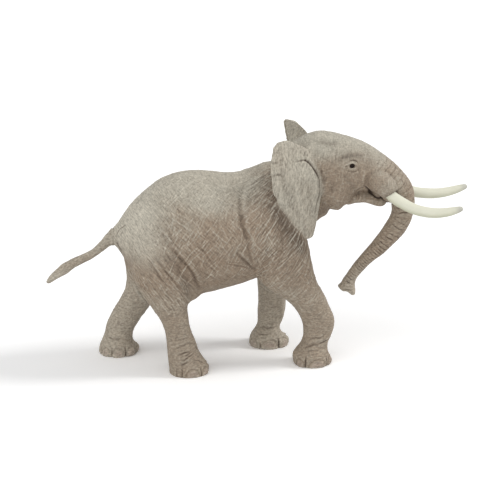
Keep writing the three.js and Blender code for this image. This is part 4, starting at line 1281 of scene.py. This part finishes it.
def build_eyes(skin, material):
    """An eyeball on each side of the head, set into its lids, looking outwards."""
    skin.grow_tree()
    right = skin.seen_at(EYE)
    left = skin.mirrored(right[None], True)[0]
    radius = sizes().eye_radius
    stand = math.sqrt(radius**2 - EYE_OPENING**2)
    for name, spot, side in (("eye_right", right, -1), ("eye_left", left, 1)):
        normal = side * HEAD_LEFT * EYE_OUT + HEAD_AHEAD * EYE_AHEAD
        normal /= np.linalg.norm(normal)
        centre = spot - normal * stand
        work = bmesh.new()
        bmesh.ops.create_uvsphere(work, u_segments=32, v_segments=24, radius=radius * MM)
        turn = Vector(normal).to_track_quat("Z", "Y").to_matrix().to_4x4()
        bmesh.ops.transform(work, matrix=Matrix.Translation(Vector(centre) * MM) @ turn, verts=work.verts)
        made = made_mesh(work, name)
        made.shade_smooth()
        made.materials.append(material)
        set_field(made, "rim", fade(((corners_of(made) - centre) / radius) @ normal, 0.75, 0.6))
        add_piece(name, made, "skin")


# Stage: half the floor's width in millimetres, and the strength of the light from all round
FLOOR_HALF = 4000
AMBIENT = 0.5
# Suns: name, strength, turn and softness in degrees
SUNS = [("key", 1.08, (40, -45, 0), 80), ("side", 1.4, (4, 52, 0), 20)]
# The floor's colour where it is seen and where it throws light back on the figure
FLOOR_SEEN = 1.2
FLOOR_BOUNCE = 0.85


def level_by_ray(add, lit, seen):
    """One level for the light on the figure, and another for straight, mirrored and refracted views."""
    rays = add("LightPath").outputs
    views = rays["Is Camera Ray"]
    for kind in ("Is Glossy Ray", "Is Transmission Ray"):
        views = add("Math", {0: views, 1: rays[kind]}, operation="ADD", use_clamp=True).outputs[0]
    return add("Mix", {0: views, 2: lit, 3: seen}, data_type="FLOAT").outputs[0]


def floor_material():
    """White paper sweep: white to the camera, where only the deep part of the soft shadow shows."""
    material, add = new_material("white_paper")
    level = level_by_ray(add, FLOOR_BOUNCE, FLOOR_SEEN)
    colour = add("CombineColor", {0: level, 1: level, 2: level}).outputs[0]
    shader = add("BsdfDiffuse", {"Color": colour, "Roughness": 0.0}).outputs[0]
    add("OutputMaterial", {"Surface": shader})
    return material


def build_stage():
    """Pale floor, soft light from above and the right, white surroundings and the photograph's camera."""
    scene = bpy.context.scene
    work = bmesh.new()
    bmesh.ops.create_grid(work, x_segments=1, y_segments=1, size=FLOOR_HALF * MM)
    floor = placed("floor", made_mesh(work, "floor"))
    floor.data.materials.append(floor_material())
    for name, strength, turn, softness in SUNS:
        light = bpy.data.lights.new(name, "SUN")
        light.energy = strength
        light.angle = math.radians(softness)
        placed(name, light).rotation_euler = [math.radians(angle) for angle in turn]
    scene.world = bpy.data.worlds.new("studio")
    scene.world.use_nodes = True
    tree = scene.world.node_tree
    tree.nodes.clear()
    light = {"Color": (1, 1, 1, 1), "Strength": level_by_ray(partial(node, tree), AMBIENT, 1.0)}
    node(tree, "OutputWorld", {"Surface": node(tree, "Background", light).outputs[0]})
    lens = bpy.data.cameras.new("photo_camera")
    lens.lens = SENSOR * PHOTO_FOCAL / PHOTO_SIDE
    lens.sensor_width = SENSOR
    lens.clip_end = 100
    scene.camera = placed("photo_camera", lens)
    scene.camera.rotation_mode = "QUATERNION"
    scene.camera.rotation_quaternion = CAMERA_TURN
    scene.camera.location = CAMERA_PLACE * MM
    scene.view_settings.view_transform = "Standard"


class FIGURE_OT_skin(bpy.types.Operator):
    """Casts, carves, paints and splits the moulded skin, and sets the eyes into it"""

    bl_idname = "figure.skin"
    bl_label = "Moulded skin and eyes"

    def execute(self, context):
        skin = build_skin()
        split_skin(skin, skin_material())
        build_eyes(skin, eye_material())
        bpy.data.meshes.remove(skin.mesh)
        return {"FINISHED"}


class FIGURE_OT_tusks(bpy.types.Operator):
    """Builds both ivory tusks"""

    bl_idname = "figure.tusks"
    bl_label = "Tusks"

    def execute(self, context):
        material = ivory_material()
        for name, side in TUSKS.items():
            build_tusk(name, side, material)
        return {"FINISHED"}


class FIGURE_OT_stage(bpy.types.Operator):
    """Builds the floor, lights, surroundings and camera"""

    bl_idname = "figure.stage"
    bl_label = "Studio"

    def execute(self, context):
        build_stage()
        return {"FINISHED"}


class FIGURE_PT_panel(bpy.types.Panel):
    """Lists the steps that make the figure"""

    bl_idname = "FIGURE_PT_panel"
    bl_label = "Toy elephant figure"
    bl_space_type = "VIEW_3D"
    bl_region_type = "UI"
    bl_category = "Figure"

    def draw(self, context):
        for step in STEPS:
            self.layout.operator(step.bl_idname)
        for name in FigureSizes.__annotations__:
            self.layout.prop(context.scene.figure_sizes, name)
        for name in PAINTS:
            self.layout.prop(context.scene.figure_colours, name)


STEPS = [FIGURE_OT_skin, FIGURE_OT_tusks, FIGURE_OT_stage]
CLASSES = [FigureSizes, FigureColours, *STEPS, FIGURE_PT_panel]


def register():
    for made in CLASSES:
        bpy.utils.register_class(made)
    bpy.types.Scene.figure_sizes = PointerProperty(type=FigureSizes)
    bpy.types.Scene.figure_colours = PointerProperty(type=FigureColours)


def unregister():
    del bpy.types.Scene.figure_colours
    del bpy.types.Scene.figure_sizes
    for made in reversed(CLASSES):
        bpy.utils.unregister_class(made)


def main():
    register()
    bpy.ops.figure.skin()
    bpy.ops.figure.tusks()
    bpy.ops.figure.stage()


if __name__ == "__main__":
    main()
